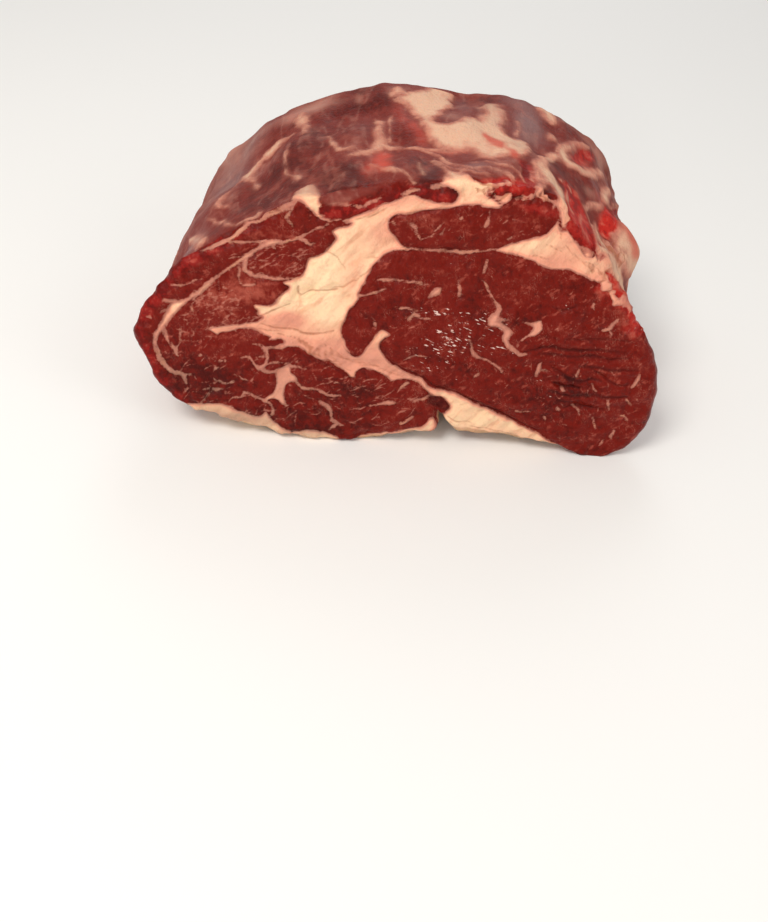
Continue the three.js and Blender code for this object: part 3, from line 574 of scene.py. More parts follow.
# The outside, laid out flat: girth from the left end over the top to the right, and depth behind
# the cut face
outside = {
    "fatAreas": [
        [(97, -3), (97.5, 5), (99, 9), (102, 11.8), (105, 10), (106, 5), (106, -3)],
        # broad cream patch on the top
        [(134, 75), (137.5, 70.5), (141, 63), (143.5, 52), (145.5, 44), (146.8, 37), (149.5, 33),
         (156, 31), (162, 30.5), (164, 26), (165.5, 21), (168, 19), (171, 21), (173, 24), (176, 24.5),
         (179, 26), (182, 33), (185, 42), (187, 50), (183, 51.5), (178, 53), (176, 58), (176.5, 66),
         (176, 76), (174, 83), (171, 83), (169, 76), (168.5, 67), (166, 61), (163, 59), (160, 56),
         (157, 51), (154, 48.5), (151, 47.5), (148.6, 49.5), (149.5, 53), (152.5, 60), (155.5, 69),
         (157.5, 77), (158.5, 86), (158, 94), (152, 96), (147, 89), (143, 83), (138, 78)],
        [(190, 88), (192, 82), (196, 77), (198, 82), (198, 92), (194, 96)],
        [(148.5, 15.5), (150.5, 14.6), (153.5, 12), (157.5, 8.4), (161.5, 4.4), (165, -3), (148.5, -3),
         (150.6, 2), (152, 7), (151.5, 11)],
        [(183.5, 26), (188, 25), (193, 22.5), (197, 18), (199, 12), (198, 5), (197.5, -3), (190.5, -3),
         (190, 4), (188.8, 9.5), (186.4, 9), (185.6, 2), (185.4, -3), (183.5, -3), (184, 10)],
        [(215, -3), (216, 6), (218, 14), (219, 22), (221, 27.5), (226, 24), (232, 21), (240, 20),
         (246, 14), (243, 4), (238, -3)],
        # the knob, with a tail that runs back to the fat cap
        [(228, 26), (229, 36), (232, 44), (236, 50), (240, 57), (243, 66), (248, 76), (255, 85),
         (265, 92), (277, 95), (290, 101), (299, 94), (288, 87), (277, 84), (270, 79), (263, 75),
         (257, 68), (260, 60), (267, 53), (265, 45), (259, 38), (252, 31), (246, 23), (238, 20),
         (231, 21)],
        [(192.5, 64), (194, 68), (197, 67.5), (198, 63), (196, 60.5), (193.5, 61)],
        [(132.5, 77), (134, 84), (137, 86), (139, 82), (137, 77.5)],
    ],
    "seams": [
        [(60, 28, 0.8), (64, 21, 1.4), (69, 14.5, 1.6), (73.5, 8, 1.6), (77, 4.5, 1.8), (82, 4, 2.4),
         (84, 6, 1)],
        [(49, 27, 1), (53, 22, 4), (57, 15, 5), (60, 9, 4), (62, 4, 1.5)],
        [(94, 62.5, 1), (91, 63.5, 2.4), (87.5, 63.5, 5.4), (84, 61.5, 7), (81, 61, 5), (78, 59.5, 4.4),
         (75.5, 57, 7.4), (73.7, 53, 7.2), (74.7, 47, 4.2), (77.5, 41, 2.4), (79.5, 33.5, 1.2)],
        [(74, 48, 1.4), (71, 46.5, 1.6), (69.5, 42, 1.4), (67, 37.5, 1.5), (64.5, 33.5, 2.2),
         (67.5, 29.5, 1)],
        [(92.6, 44, 0.3), (93.2, 38, 0.7), (93, 31, 0.5), (96, 25, 0.4), (98, 21, 0.6)],
        [(97.5, 78, 5), (98, 71, 4.5), (99.5, 64, 3.4), (99.5, 58, 1.4)],
        [(109, 49, 0.6), (111, 43, 1), (113, 38, 1.4), (115, 33.5, 2.4), (118, 32, 2)],
        # forked seam in the middle of the top
        [(127, 63, 0.8), (128, 57, 2), (128.5, 50, 2.8), (128.7, 44, 3), (128.7, 39, 3.8),
         (127.3, 34.5, 4.6), (124.5, 30.5, 3.6), (121, 27.8, 2.6), (118, 25.5, 1.2)],
        [(132.6, 61, 0.4), (132.8, 52, 0.9), (132.2, 43, 1.1), (131, 38, 1)],
        [(129.5, 37, 3.8), (133.5, 35.4, 2.4), (138, 33.6, 2), (143, 31.6, 2), (149, 30.8, 2.2),
         (158, 30.2, 1.8)],
        [(143, 31.5, 1.4), (147, 28, 2.2), (150.5, 24, 2.6), (153, 19, 2.4), (157, 14, 2),
         (160, 11.5, 1.4), (166, 11, 1), (172, 9, 1), (176, 4, 0.8)],
        [(147.5, 18.5, 1.5), (150.5, 16.5, 2.4), (154, 13.5, 2.2), (158, 10, 2), (162, 8, 1.6),
         (167, 7, 1)],
        [(163, 16, 0.5), (169, 15, 0.9), (174, 13, 0.7), (178, 9, 0.5)],
        [(125, 17.5, 0.6), (129, 14, 1.2), (132.5, 11, 2.4), (136, 8, 1.6), (139, 4.5, 1.2),
         (141.5, 0, 0.8)],
        [(141.5, 16, 0.3), (142.5, 12, 0.5), (144.5, 7, 0.3)],
        [(180.8, 67, 0.6), (181.3, 61, 1.2), (180.4, 55, 0.8)],
        [(203, 48.5, 3), (198, 48, 4.4), (193.5, 44, 5), (190, 37, 4.4), (187.5, 30, 4.6),
         (185.3, 24, 5), (184, 16, 3), (183.7, 8, 1.6), (183.3, -2, 1.2)],
        [(222.5, 45, 4), (224, 53, 6), (226, 62, 3)],
        [(266, 52, 4), (272, 55, 2.6), (279, 61, 1.6), (288, 64, 1), (300, 74, 2)],
        # ring round a red spot
        [(216, 82, 2), (211, 76, 3.4), (206, 69, 4.4), (201.5, 61, 5.4), (199.5, 53, 6.2),
         (202.5, 48.5, 5.6), (208.5, 49.5, 5.2), (213.5, 55, 4.8), (219, 63, 4.6), (224, 72, 3.6),
         (228, 82, 2)],
    ],
    # fresh bright red places: how vivid, and their outlines
    "redAreas": [
        (0.7, [(198, 22), (203, 29), (209, 27), (213, 18), (216, 8), (217, -3), (197, -3), (199, 10)]),
        (0.6, [(195, 25), (199, 29), (206, 30), (209, 26), (203, 21), (199, 21)]),
        (0.9, [(221.5, 41), (225, 44), (228, 42), (229, 33), (228, 25), (223.5, 26), (221.5, 33)]),
        (0.6, [(204.5, 56), (206.5, 53.5), (210, 57.5), (214, 65), (219, 75), (221, 84), (215, 78),
               (209.5, 70), (206, 62)]),
        (0.5, [(165, -3), (164, 2), (166, 5), (170, 6), (174, 6), (178, 6.5), (182, 4), (183, -3)]),
        (0.2, [(177, 22), (180, 24), (183, 18), (183, 4), (178, 4), (177.5, 14)]),
        (0.6, [(226, -3), (230, 3), (238, 7), (247, 9), (255, 6), (260, -3)]),
        (0.3, [(226, 43), (232, 48), (238, 57), (246, 68), (250, 77), (246, 77), (240, 67), (233, 57),
               (226, 49)]),
    ],
    # shreds of fat that lie on them
    "shreds": [
        [(199, 24, 1), (201, 18, 1.6), (203, 11, 0.8)],
        [(196, 25.5, 1.8), (199.5, 27, 2.4), (204, 28, 1.4)],
        [(212, 26, 1.6), (214.5, 20, 1.4), (216, 12, 1)], [(205, 2, 0.7), (207, 10, 1), (208, 16, 0.6)],
        [(213, 28, 2), (216, 33, 3.4), (219.5, 37, 3.4), (221.5, 41, 2.2)],
        [(160, 2, 1), (164, 4.5, 1.4), (167, 1, 1.2)], [(170, 4, 1), (173, 2, 1.8), (175, -2, 1)],
        [(177.5, 16, 0.6), (178.5, 7, 1), (178, 0, 0.7)], [(181, 18, 0.5), (182, 10, 0.7)],
        [(225, 46, 1), (229, 51, 2), (234, 60, 2.4), (239, 68, 1.4)],
    ],
    # muscles that have dried least
    "moistAreas": [
        [(133, 60), (134, 67), (137, 68), (139, 60), (141, 52), (144, 44), (147, 35), (146, 33),
         (140, 34), (133.5, 37), (131.5, 42), (132, 50)],
        [(150, 26), (160, 28), (163, 25), (158, 19), (153, 20)],
        [(134, 30), (138, 32), (143, 30), (147, 25), (148, 18), (146, 14), (140, 12), (135, 13),
         (133.5, 20)],
        [(177, 22), (180, 24), (183, 18), (184, 4), (176, 2), (177.5, 14)],
        [(189, 46), (187, 36), (187, 28), (192, 24), (199, 20), (203, 30), (201, 42), (195, 47)],
        [(200, 44), (208, 47), (213, 56), (218, 62), (222, 50), (219, 36), (210, 30), (202, 30)],
        [(190, 68), (193, 76), (202, 84), (209, 82), (205, 72), (200, 66)],
        [(100, 70), (104, 77), (116, 79), (130, 76), (132, 71), (118, 68), (106, 66)],
    ],
    # lighter and darker: girth, depth, half sizes and amount
    "tones": [
        (98, 38, 22, 30, -0.34), (141, 14, 8, 9, -0.2), (146, 10, 5, 8, -0.3), (137, 44, 5, 10, -0.25),
        (114, 73.5, 13, 5, -0.5), (128, 74, 8, 5, -0.35), (172, 80, 6, 12, -0.45),
        (115, 8, 12, 12, -0.62), (145, 6, 6, 8, -0.4), (184, 70, 9, 16, 0.1), (119, 15, 4, 5, -0.45),
        (82, 50, 4, 9, 0.3), (205, 38, 14, 9, -0.2), (195, 34, 5, 9, -0.45), (165, 18, 10, 8, 0.1),
        (60, 45, 18, 22, 0.1), (84, 16, 16, 16, -0.3), (123, 86, 8, 8, -0.45), (164, 88, 8, 6, -0.2),
        (155, 26, 8, 4, 0.3),
    ],
    # soft coral blushes, the same way
    "blushes": [
        (129.5, 28, 3.6, 4.5, 0.85), (129.5, 21, 3.4, 6, 0.95), (131, 14.5, 3, 4, 0.75),
        (124.5, 15, 3.5, 6, 0.55), (135, 64, 2.4, 5, 0.6), (138, 57, 2, 6, 0.7), (141, 49, 2, 6, 0.7),
        (143.5, 42, 1.8, 6, 0.7), (145, 36, 1.8, 4, 0.6), (212, 66, 5, 10, 0.9), (94, 81, 4, 8, 0.35),
        (224, 34, 5, 8, 0.4), (168, 44, 1.6, 4, 1.1), (170, 39.5, 1.8, 4, 1.3),
        (172.5, 34.5, 1.8, 4, 1.3), (175.5, 27.5, 1.8, 5, 1.2), (156, 29.5, 8, 1.6, 0.5),
        (219, 43, 3, 5, 0.7), (234.5, 33.5, 4, 4.5, 1.2), (231, 41, 3, 5, 0.7), (239, 29, 3, 3.5, 0.8),
        (252, 60, 8, 5, 0.35), (246, 70, 4, 8, 0.4), (270, 88, 8, 5, 0.4),
    ],
    # thin pale tissue over the lean, the same way
    "veils": [
        (156, 56, 6, 9, 0.55), (226, 90, 6, 10, 0.6), (58, 92, 14, 9, 0.8), (62, 75, 16, 13, 0.45),
        (79, 80, 9, 9, 0.4), (56, 16, 6, 10, 0.5), (50, 50, 14, 16, 0.35), (82, 50, 5, 9, 0.3),
        (102, 86, 11, 11, 1), (93, 80, 4, 8, 0.4), (135, 82, 5, 6, 0.5), (121, 81, 2, 6, 0.45),
        (102, 58, 3.5, 8, 0.4), (195, 85, 6, 8, 0.6), (214, 40, 4.5, 3.2, 0.85),
        (167.5, 72, 2, 13, 0.6), (170, 9.5, 5, 2, 0.5), (236, 68, 6, 14, 0.5), (226, 74, 3, 12, 0.4),
        (216, 93, 10, 10, 0.5), (208, 62, 7, 12, 0.5), (70, 34, 4, 6, 0.3), (106, 20, 5, 4, 0.25),
        (178, 66, 2, 12, 0.3),
    ],
    # purple-grey film, the same way
    "cools": [
        (146, 10, 5, 8, 0.3), (186, 68, 7, 20, 1), (162, 74, 4, 20, 0.5), (181, 88, 8, 6, 0.5),
        (163, 13, 6, 4, 0.6), (120, 55, 9, 16, 0.25), (75, 82, 14, 12, 0.6), (110, 4, 10, 8, 0.2),
        (60, 50, 16, 20, 0.4), (181, 42, 5, 10, 0.35), (173, 62, 4, 9, 0.5), (229, 84, 5, 14, 0.5),
        (231, 62, 3, 10, 0.4), (64, 60, 10, 20, 0.4), (55, 14, 5, 12, 0.8), (54, 78, 8, 16, 0.4),
    ],
    # painted shade in the dark gaps at the front rim, and in the creases beside the knob
    "darks": [
        [(184.8, -2, 2), (186, 3, 2), (188, 7, 1)], [(226.5, 24, 1), (229, 23, 1.6)],
    ],
    "creases": [
        [(227, 18.5, 1.6), (231, 19.6, 2.2), (236, 19, 1.6)],
    ],
    # where the skin draws in: girth, depth, half sizes and how far
    "hollows": [
        (254, 31, 11, 13, 5.8), (38, 57, 8, 10, 1.4), (236, 30, 3, 4, 0.6), (225, 35, 3.5, 5, -1.2),
        (250, 58, 5, 9, 0.9), (263, 64, 5, 5, 1.2),
    ],
    # fat torn into shreds, the same way as lighter and darker
    "shredded": [
        (221, 8, 7, 12, 1), (231, 20, 8, 7, 0.6), (171, 1, 12, 4, 0.9), (199, 26, 5, 4, 0.6),
    ],
}


# Grid of an end: rings shaped as squares, drawn out to the outline, so that cells stay nearly even.
# Place round a ring is counted in cells, anticlockwise seen from the front, from the lower right corner.
def squareRings(across, up):
    a, b = np.meshgrid(np.linspace(-1, 1, across + 1), np.linspace(-1, 1, up + 1), indexing="ij")
    ring = np.maximum(np.abs(a), np.abs(b))
    safe = np.where(ring == 0, 1, ring)
    a, b = a / safe, b / safe
    edge = 1 - 1e-9
    place = np.select(
        [a >= edge, b >= edge, a <= -edge],
        [(b + 1) / 2 * up, up + (1 - a) / 2 * across, up + across + (1 - b) / 2 * up],
        2 * up + across + (a + 1) / 2 * across)
    return ring, np.mod(place, 2 * (across + up))


# Vertex numbers round the rim of a grid, in the same order
def rimOrder(index):
    return np.concatenate([index[-1, :-1], index[:0:-1, -1], index[0, :0:-1], index[:-1, 0]])


# Direction of a place counted in cells round the rim, so that cells are even along the cut's outline
def directionAt(place):
    rimCount = 2 * sum(steak["faceCells"])
    return columnStart + np.interp(place / rimCount * rimLength[-1], rimLength, fineTurn)


# All places of the steak's surface: the finely divided cut face, then half as many columns round the side.
# Each edge is a quarter turn: the inset shrinks by the sine while the push grows by the cosine, or back.
def layOutSteak():
    keys = ("end", "angle", "along", "share", "inset", "push")
    zones = {key: [] for key in keys}

    # Adds a patch of places and gives their vertex numbers, counted on from the last one
    def add(*values):
        start = sum(len(v) for v in zones["end"])
        patch = np.broadcast_arrays(*(np.asarray(v, float) for v in values))
        for key, value in zip(keys, patch):
            zones[key].append(value.ravel())
        return start + np.arange(patch[0].size).reshape(patch[0].shape)

    share, place = squareRings(*steak["faceCells"])
    angle = directionAt(place)
    face = add(0, angle, 0, share, edgeRadius(angle), 0)
    column = directionAt(np.arange(sum(steak["faceCells"])) * 2.0)
    edge, backEdge = edgeRadius(column), steak["backEdge"]
    start, stop = edge / steak["depth"], 1 - backEdge / steak["depth"]
    rows = []
    for turn in np.linspace(0, math.pi / 2, steak["edgeSteps"] + 1)[1:-1]:
        rows.append(add(0, column, 0, 1, edge * (1 - math.sin(turn)), edge * (1 - math.cos(turn))))
    for share in np.linspace(0, 1, steak["sideRows"]):
        rows.append(add(1, column, start + (stop - start) * share, 1, 0, 0))
    for turn in np.linspace(0, math.pi / 2, steak["backEdgeSteps"] + 1)[1:-1]:
        rows.append(add(2, column, 1, 1, backEdge * (1 - math.cos(turn)), backEdge * (1 - math.sin(turn))))
    share, place = squareRings(*steak["backCells"])
    back = add(2, directionAt(place * 2), 1, share, backEdge, 0)
    rows.append(rimOrder(back))
    return face, np.array(rows), back, {key: np.concatenate(value) for key, value in zones.items()}


# The four vertex numbers of each cell of a grid, anticlockwise seen from the front, or turned over
def cellCorners(grid, turnedOver=False):
    corners = [grid[:-1, :-1], grid[1:, :-1], grid[1:, 1:], grid[:-1, 1:]]
    if turnedOver:
        corners = [corners[k] for k in (0, 3, 2, 1)]
    return np.stack(corners, 2).reshape(-1, 4)


# Faces: squares of the three grids, and a band of threes where the columns halve
def steakFaces(face, rows, back):
    closed = np.column_stack([rows, rows[:, :1]])
    fours = np.concatenate([cellCorners(face), cellCorners(closed), cellCorners(back, turnedOver=True)])
    rim = rimOrder(face)
    even, odd, ahead = rim[0::2], rim[1::2], np.roll(rim[0::2], -1)
    first, second = rows[0], closed[0, 1:]
    band = [(even, first, odd), (odd, first, second), (odd, second, ahead)]
    return fours, np.concatenate([np.stack(corners, 1) for corners in band])


# Normals at the vertices: the sum of the normals of the faces round each
def vertexNormals(places, *faceSets):
    normals = np.zeros_like(places)
    for faces in faceSets:
        p = places[faces]
        across = np.cross(p[:, 2] - p[:, 0], p[:, -1] - p[:, 1])
        for corner in range(faces.shape[1]):
            np.add.at(normals, faces[:, corner], across)
    return normals / np.maximum(np.linalg.norm(normals, axis=1), 1e-12)[:, None]


# The map that the finish can be baked through. The cut face lies flat across the top, in its own shape. The
# side is a strip below it, column by column and row by row, and the back end lies flat at the bottom.
# Each is placed by its width, in shares of the map, and its lower left corner.
bakeMap = {"face": (0.98, 0.01, 0.475), "side": (0.98, 0.01, 0.265), "back": (0.44, 0.01, 0.01)}
bandHeight = 0.7  # of the band of threes, in millimetres


# An end on the map: x and height, less the lowest of its grid, scaled to its width
def laidFlat(flat, grid, island):
    width, left, bottom = island
    low, high = flat[grid.ravel()].min(0), flat[grid.ravel()].max(0)
    return (flat - low) * width / (high[0] - low[0]) + (left, bottom)


# One place on the map for each corner of each face, in the order of steakFaces. On the strip, columns are
# equally wide, and a row is as high as the mean distance from the row before it.
def bakePlaces(face, rows, back, places, flat):
    rowCount, columnCount = rows.shape
    width, left, bottom = bakeMap["side"]
    gaps = np.linalg.norm(np.diff(places[rows], axis=0), axis=2).mean(1)
    heights = np.cumsum([0, bandHeight, *gaps]) * width / rimLength[-1]
    column, row = np.arange(columnCount), np.arange(1, rowCount)[:, None]

    # Corners of cells on the strip, each given by its steps from the cell's column and row
    def stripCorners(column, row, *steps):
        corners = [np.broadcast_arrays(left + (column + a) * width / columnCount,
                                       bottom + heights[row + b]) for a, b in steps]
        return np.stack([np.stack(corner, -1) for corner in corners], -2).reshape(-1, 2)

    return np.concatenate([
        laidFlat(flat, face, bakeMap["face"])[cellCorners(face)].reshape(-1, 2),
        stripCorners(column, row, (0, 0), (0, 1), (1, 1), (1, 0)),
        laidFlat(flat, back, bakeMap["back"])[cellCorners(back, turnedOver=True)].reshape(-1, 2),
        stripCorners(column, 0, (0, 0), (0, 1), (0.5, 0)),
        stripCorners(column, 0, (0.5, 0), (0, 1), (1, 1)),
        stripCorners(column, 0, (0.5, 0), (1, 1), (1, 0))])


print("stage: laying out the surface")
face, rows, back, zones = layOutSteak()
plain = steakPoint(*(zones[key] for key in ("angle", "along", "share", "inset", "push")))
fours, threes = steakFaces(face, rows, back)
normals = vertexNormals(plain, fours, threes)
onFace, onSide, onBack = (zones["end"] == k for k in (0, 1, 2))
onCut, onSkin = onFace | onBack, onSide | onBack
print("places", len(plain), "triangles", 2 * len(fours) + len(threes))

# Soft noises of the steak, each a list of waves: amount, size in millimetres, seed, and any stretch
waves = {
    # how the patterns of the cuts and of the outside waver
    "cutX": [(0.35, 3, 11)], "cutZ": [(0.35, 3, 13)], "backX": [(5, 30, 12)], "backZ": [(5, 30, 14)],
    "girth": [(1.3, 8, 21), (0.4, 3, 22)], "behind": [(1.3, 8, 23), (0.4, 3, 24)],
    "backRim": [(0.05, 14, 15)],
    # fat of the outside, of the cap underneath, and the thin walls where the camera doesn't look
    "fatEdge": [(0.9, 5, 34), (0.5, 2.8, 35)], "capPatches": [(1, 26, 31, 1, 0.7, 1), (0.5, 9, 32)],
    "walls": [(12, 13, 33, 1, 0.35, 1)],
    # torn places, pale tissue, purple film and dryness
    "redRim": [(1.6, 9, 42)], "shreds": [(1, 4.2, 91), (0.45, 1.9, 92)], "shredGaps": [(5, 5, 93)],
    "veil": [(0.1, 9, 82)], "veilUnseen": [(0.22, 30, 84)], "cool": [(1, 24, 83)],
    "dryOver": [(0.8, 5, 43)], "dryStart": [(1.5, 6, 41)],
    # relief
    "cutRelief": [(1.2, 16, 51), (0.6, 6, 52), (0.2, 2.4, 53)], "fatRelief": [(0.35, 9, 58)],
    "rippleShift": [(1.5, 12, 54)], "rippleHeight": [(1, 8, 55, 0.5, 1, 1)],
    "sideRelief": [(1.1, 18, 61, 1, 0.3, 1), (0.8, 7, 62, 1, 0.3, 1), (0.2, 3.2, 63, 1, 0.3, 1)],
    "tornRelief": [(0.9, 6, 71), (0.5, 2.6, 72)],
}


# The sum of a noise's waves at every place: amount times soft noise, on places stretched by the stretch
def noiseOf(name):
    return sum(amount * softNoise(plain * (stretch or (1, 1, 1)), size, seed)
               for amount, size, seed, *stretch in waves[name])


# Soft noise drawn out in other directions: one array of coordinates for each of its three
def drawnNoise(wave, *coordinates):
    amount, size, seed = wave
    return amount * softNoise(np.stack(coordinates, 1), size, seed)


# Where each place reads the pattern of a cut: carried flat onto the leaning plane, and wavering a little.
# The back end reads the same pattern at the same direction and share of the radius, more crooked.
print("stage: fat, seams and marbling")
pattern = {
    "swellShift": (0.06, -0.77),  # how far a millimetre of swelling carries the pattern in x and height
    "backReach": 55.0,  # from the rim of the back end to its middle, as depth behind the cut face
    "backRim": (0.84, 0.99),  # shares of the radius over which the outside takes over on the back end
    "areaFactor": 2.0,  # areas of fat count as this much deeper than seams, which stay pink
    "areaEdge": 0.8,  # how much the outside's noise moves the edge of an area, against 1 for a seam
    "leftFlank": (38, 50), "rightFlank": (262, 275), "farEnd": (96, 106),  # where the camera doesn't look
    # fat cap: girth over which it starts and ends, how much it adds, what is taken off, and sharpness
    "capStart": (285, 325), "capEnd": (452, 474), "capAdds": 0.9, "capLess": 0.15, "capSharp": 7.0,
    "capShows": (0, 0.4),  # share of the cap over which its patches come up
    "wallWidth": 0.2,  # half the width of the thin walls
    "fadeDepth": 12.0,  # how far a pattern sinks where it fades out
    "finer": {"creases": 0.25, "darks": 0.5},  # taken off lines that are too fine for the coarser back end
}


# 1 on the flanks that the camera doesn't see, falling to 0 where it looks
def unseenAt(girth):
    return 1 - smoothStep(*pattern["leftFlank"], girth) + smoothStep(*pattern["rightFlank"], girth)


# A pattern on the whole skin: the deeper of the cut's and the outside's, each sinking where the other
# takes over
def bothDepths(cutDepth, skinDepth):
    ofCut, ofSkin = np.full(len(plain), farAway), np.full(len(plain), farAway)
    ofCut[onCut], ofSkin[onSkin] = cutDepth, skinDepth
    return np.maximum(ofCut + farAway * (1 - cutShare), ofSkin + farAway * cutShare)


# The depth in the strokes of one name, on the cuts and on the outside
def strokesOf(name):
    depth = bothDepths(depthOf(x, z, (), cutFace[name]), depthOf(u, v, (), outside[name]))
    return depth - pattern["finer"].get(name, 0) * onBack


# A value on the whole skin: one on both cuts and another on the side
def bothValues(cutValues, sideValues):
    values = np.zeros(len(plain))
    values[onCut], values[onSide] = cutValues, sideValues
    return values


swell = (1 - zones["share"]**4) * bellsAt(plain[:, 0], plain[:, 2], steak["faceSwells"])
flat = steakPoint(zones["angle"], 0.0, zones["share"])
swellX, swellZ = pattern["swellShift"]
cutX = np.where(onBack, flat[:, 0] + noiseOf("backX"), plain[:, 0] + swellX * swell) + noiseOf("cutX")
cutZ = np.where(onBack, flat[:, 2] + noiseOf("backZ"), plain[:, 2] + swellZ * swell) + noiseOf("cutZ")
girth = girthAt(zones["angle"])
behind = zones["along"] * steak["depth"] + np.where(onBack, (1 - zones["share"]) * pattern["backReach"], 0)
girthWarp, behindWarp = girth + noiseOf("girth"), behind + noiseOf("behind")
x, z, u, v = cutX[onCut], cutZ[onCut], girthWarp[onSkin], behindWarp[onSkin]
# 1 on the cut face, 0 on the outside, and rising from the rim of the back end to its middle
cutShare = np.where(onFace, 1.0, 0.0)
cutShare[onBack] = 1 - smoothStep(*pattern["backRim"], (zones["share"] + noiseOf("backRim"))[onBack])

cutFat = depthOf(x, z, cutFace["fatAreas"])
cutFat = np.where(cutFat > 0, cutFat * pattern["areaFactor"], cutFat)
cutFat = np.maximum(cutFat, depthOf(x, z, (), cutFace["seams"]))
uneven = noiseOf("fatEdge")[onSkin]
skinFat = np.maximum(depthOf(u, v, outside["fatAreas"]) + pattern["areaEdge"] * uneven,
                     depthOf(u, v, (), outside["seams"]) + uneven)
# The fat cap underneath and behind the eye: patches where a slow noise is high
under = smoothStep(*pattern["capStart"], u) * (1 - smoothStep(*pattern["capEnd"], u))
patches = noiseOf("capPatches")[onSkin] + pattern["capAdds"] * under - pattern["capLess"]
capFades = pattern["fadeDepth"] * (1 - smoothStep(*pattern["capShows"], under))
skinFat = np.maximum(skinFat, patches * pattern["capSharp"] - capFades)
# Thin walls on the flanks: ridges where a noise drawn out along the body passes nothing
wallFades = pattern["fadeDepth"] * (1 - unseenAt(u))
skinFat = np.maximum(skinFat, pattern["wallWidth"] - np.abs(noiseOf("walls")[onSkin]) - wallFades)
fat = bothDepths(cutFat, skinFat)

cutRed, cutVivid = vividDepth(x, z, cutFace["redAreas"])
skinRed, skinVivid = vividDepth(u, v, outside["redAreas"])
red = np.where(onBack, farAway, bothDepths(cutRed, skinRed))
vivid = bothValues(cutVivid, skinVivid[onSide[onSkin]])
crease, dark = strokesOf("creases"), strokesOf("darks")

# Short flecks of marbling strewn over the eye and the cap, each a bent stroke with thin ends
marbling = {
    # centre, half sizes, how many, length, width, lean in degrees, spread of the lean
    "fields": [
        (38, 45, 54, 30, 150, 2.0, 0.28, 75, 60), (70, 30, 24, 26, 70, 2.2, 0.3, 100, 45),
        (20, 84, 28, 7, 26, 1.8, 0.35, 60, 60), (-68, 52, 9, 6, 70, 2.6, 0.35, 35, 35),
        (-50, 20, 34, 14, 90, 4.5, 0.35, 15, 35), (-75, 38, 16, 16, 50, 3.0, 0.35, 50, 50),
        (-10, 18, 18, 12, 40, 4.2, 0.4, 5, 25), (-48, 68, 14, 7, 60, 3.5, 0.35, 32, 20),
        (-60, 46, 16, 5, 40, 3.5, 0.3, 40, 25),
    ],
    "halfLength": (0.25, 0.75), "width": (0.6, 1.4),  # shares of the field's own, from and to
    "bend": 0.09,  # how far a fleck bends, as a share of the square of its half length
    "ends": (0.3, 0.2),  # width of each end, as a share of the middle's
    "seed": 5, "perSpan": 2,  # of the random places, and straight stretches in each half of a fleck
}
rng = np.random.default_rng(marbling["seed"])
cutFlecks = np.full(x.shape, farAway)
for cx, cz, wide, tall, amount, length, width, lean, spread in marbling["fields"]:
    for _ in range(amount):
        way, share = rng.uniform(0, 2 * math.pi), math.sqrt(rng.uniform())
        px, pz = cx + wide * share * math.cos(way), cz + tall * share * math.sin(way)
        turn = math.radians(lean + rng.normal() * spread)
        half = length * rng.uniform(*marbling["halfLength"])
        bend = rng.normal() * marbling["bend"] * half
        dx, dz = math.cos(turn) * half, math.sin(turn) * half
        thick = width * rng.uniform(*marbling["width"])
        first, last = (thick * end for end in marbling["ends"])
        stroke = [(px - dx, pz - dz, first), (px - dz * bend, pz + dx * bend, thick),
                  (px + dx, pz + dz, last)]
        cutFlecks = np.maximum(cutFlecks, strokeDepth(x, z, stroke, marbling["perSpan"]))
flecks = bothDepths(cutFlecks, farAway)

# The torn rim: red within a few millimetres of the edge on both sides of it, with shreds of fat on it
torn = {
    "rimReach": 70.0,  # from the rim of the cut to its middle, as distance from the rim
    "redReach": 0.9, "redLeast": 0.4,  # how far the red rim reaches in, and the share it never loses
    "redStart": (143, 157), "redStop": (183, 208),  # directions between which it grows and fades
    "fatHolds": 0.3,  # fat deeper than this isn't red, and fat under red deeper than this sinks
    "fatSinks": (0.5, -0.6),  # depth of fat under torn lean: this much, and this much for each of red's
    "shredFrom": 0.05, "gapsFrom": 0.3,  # shredding over which fat breaks up, and gaps open in it
    # where fat is shredded: its greatest depth and loss, then noise and loss for each part of shredding
    "shredTop": (4, 3.2), "shredRough": (5, 0.5),
    "gapDepth": 0.5,  # depth of the gaps between shreds, painted dark with the shade of creases
    "redAmong": (2.6, 1.6), "vividAmong": 0.35,  # red between shreds, and what is taken off it
}
fromRim = np.where(onFace, (1 - zones["share"]) * torn["rimReach"], behind)
turn = np.mod(np.degrees(zones["angle"]), 360)
along = smoothStep(*torn["redStart"], turn) * (1 - smoothStep(*torn["redStop"], turn))
rim = torn["redReach"] * (torn["redLeast"] + along) - fromRim + noiseOf("redRim")
rim[onBack | (along == 0) | (fat > torn["fatHolds"])] = farAway
red = np.maximum(red, rim)
sunken = torn["fatSinks"][0] + torn["fatSinks"][1] * red
fat = np.where(red > torn["fatHolds"], np.minimum(fat, sunken), fat)
fat = np.maximum(fat, np.where(onBack, farAway, strokesOf("shreds")))
shredded = np.where(onFace, bellsAt(cutX, cutZ, cutFace["shredded"]),
                    bellsAt(girth, behind, outside["shredded"]))
shredded = np.where(onBack, 0, shredded)
lumpy = noiseOf("shreds")
top, loss = torn["shredTop"]
roughness, less = torn["shredRough"]
ragged = np.minimum(fat, top - loss * shredded) + shredded * (roughness * lumpy - less)
fat = np.where(shredded > torn["shredFrom"], ragged, fat)
gaps = np.maximum(crease, torn["gapDepth"] - np.abs(noiseOf("shredGaps")))
crease = np.where(shredded > torn["gapsFrom"], gaps, crease)
grown, less = torn["redAmong"]
red = np.maximum(red, grown * shredded - less + lumpy)
vivid = np.maximum(vivid, torn["vividAmong"] * shredded)

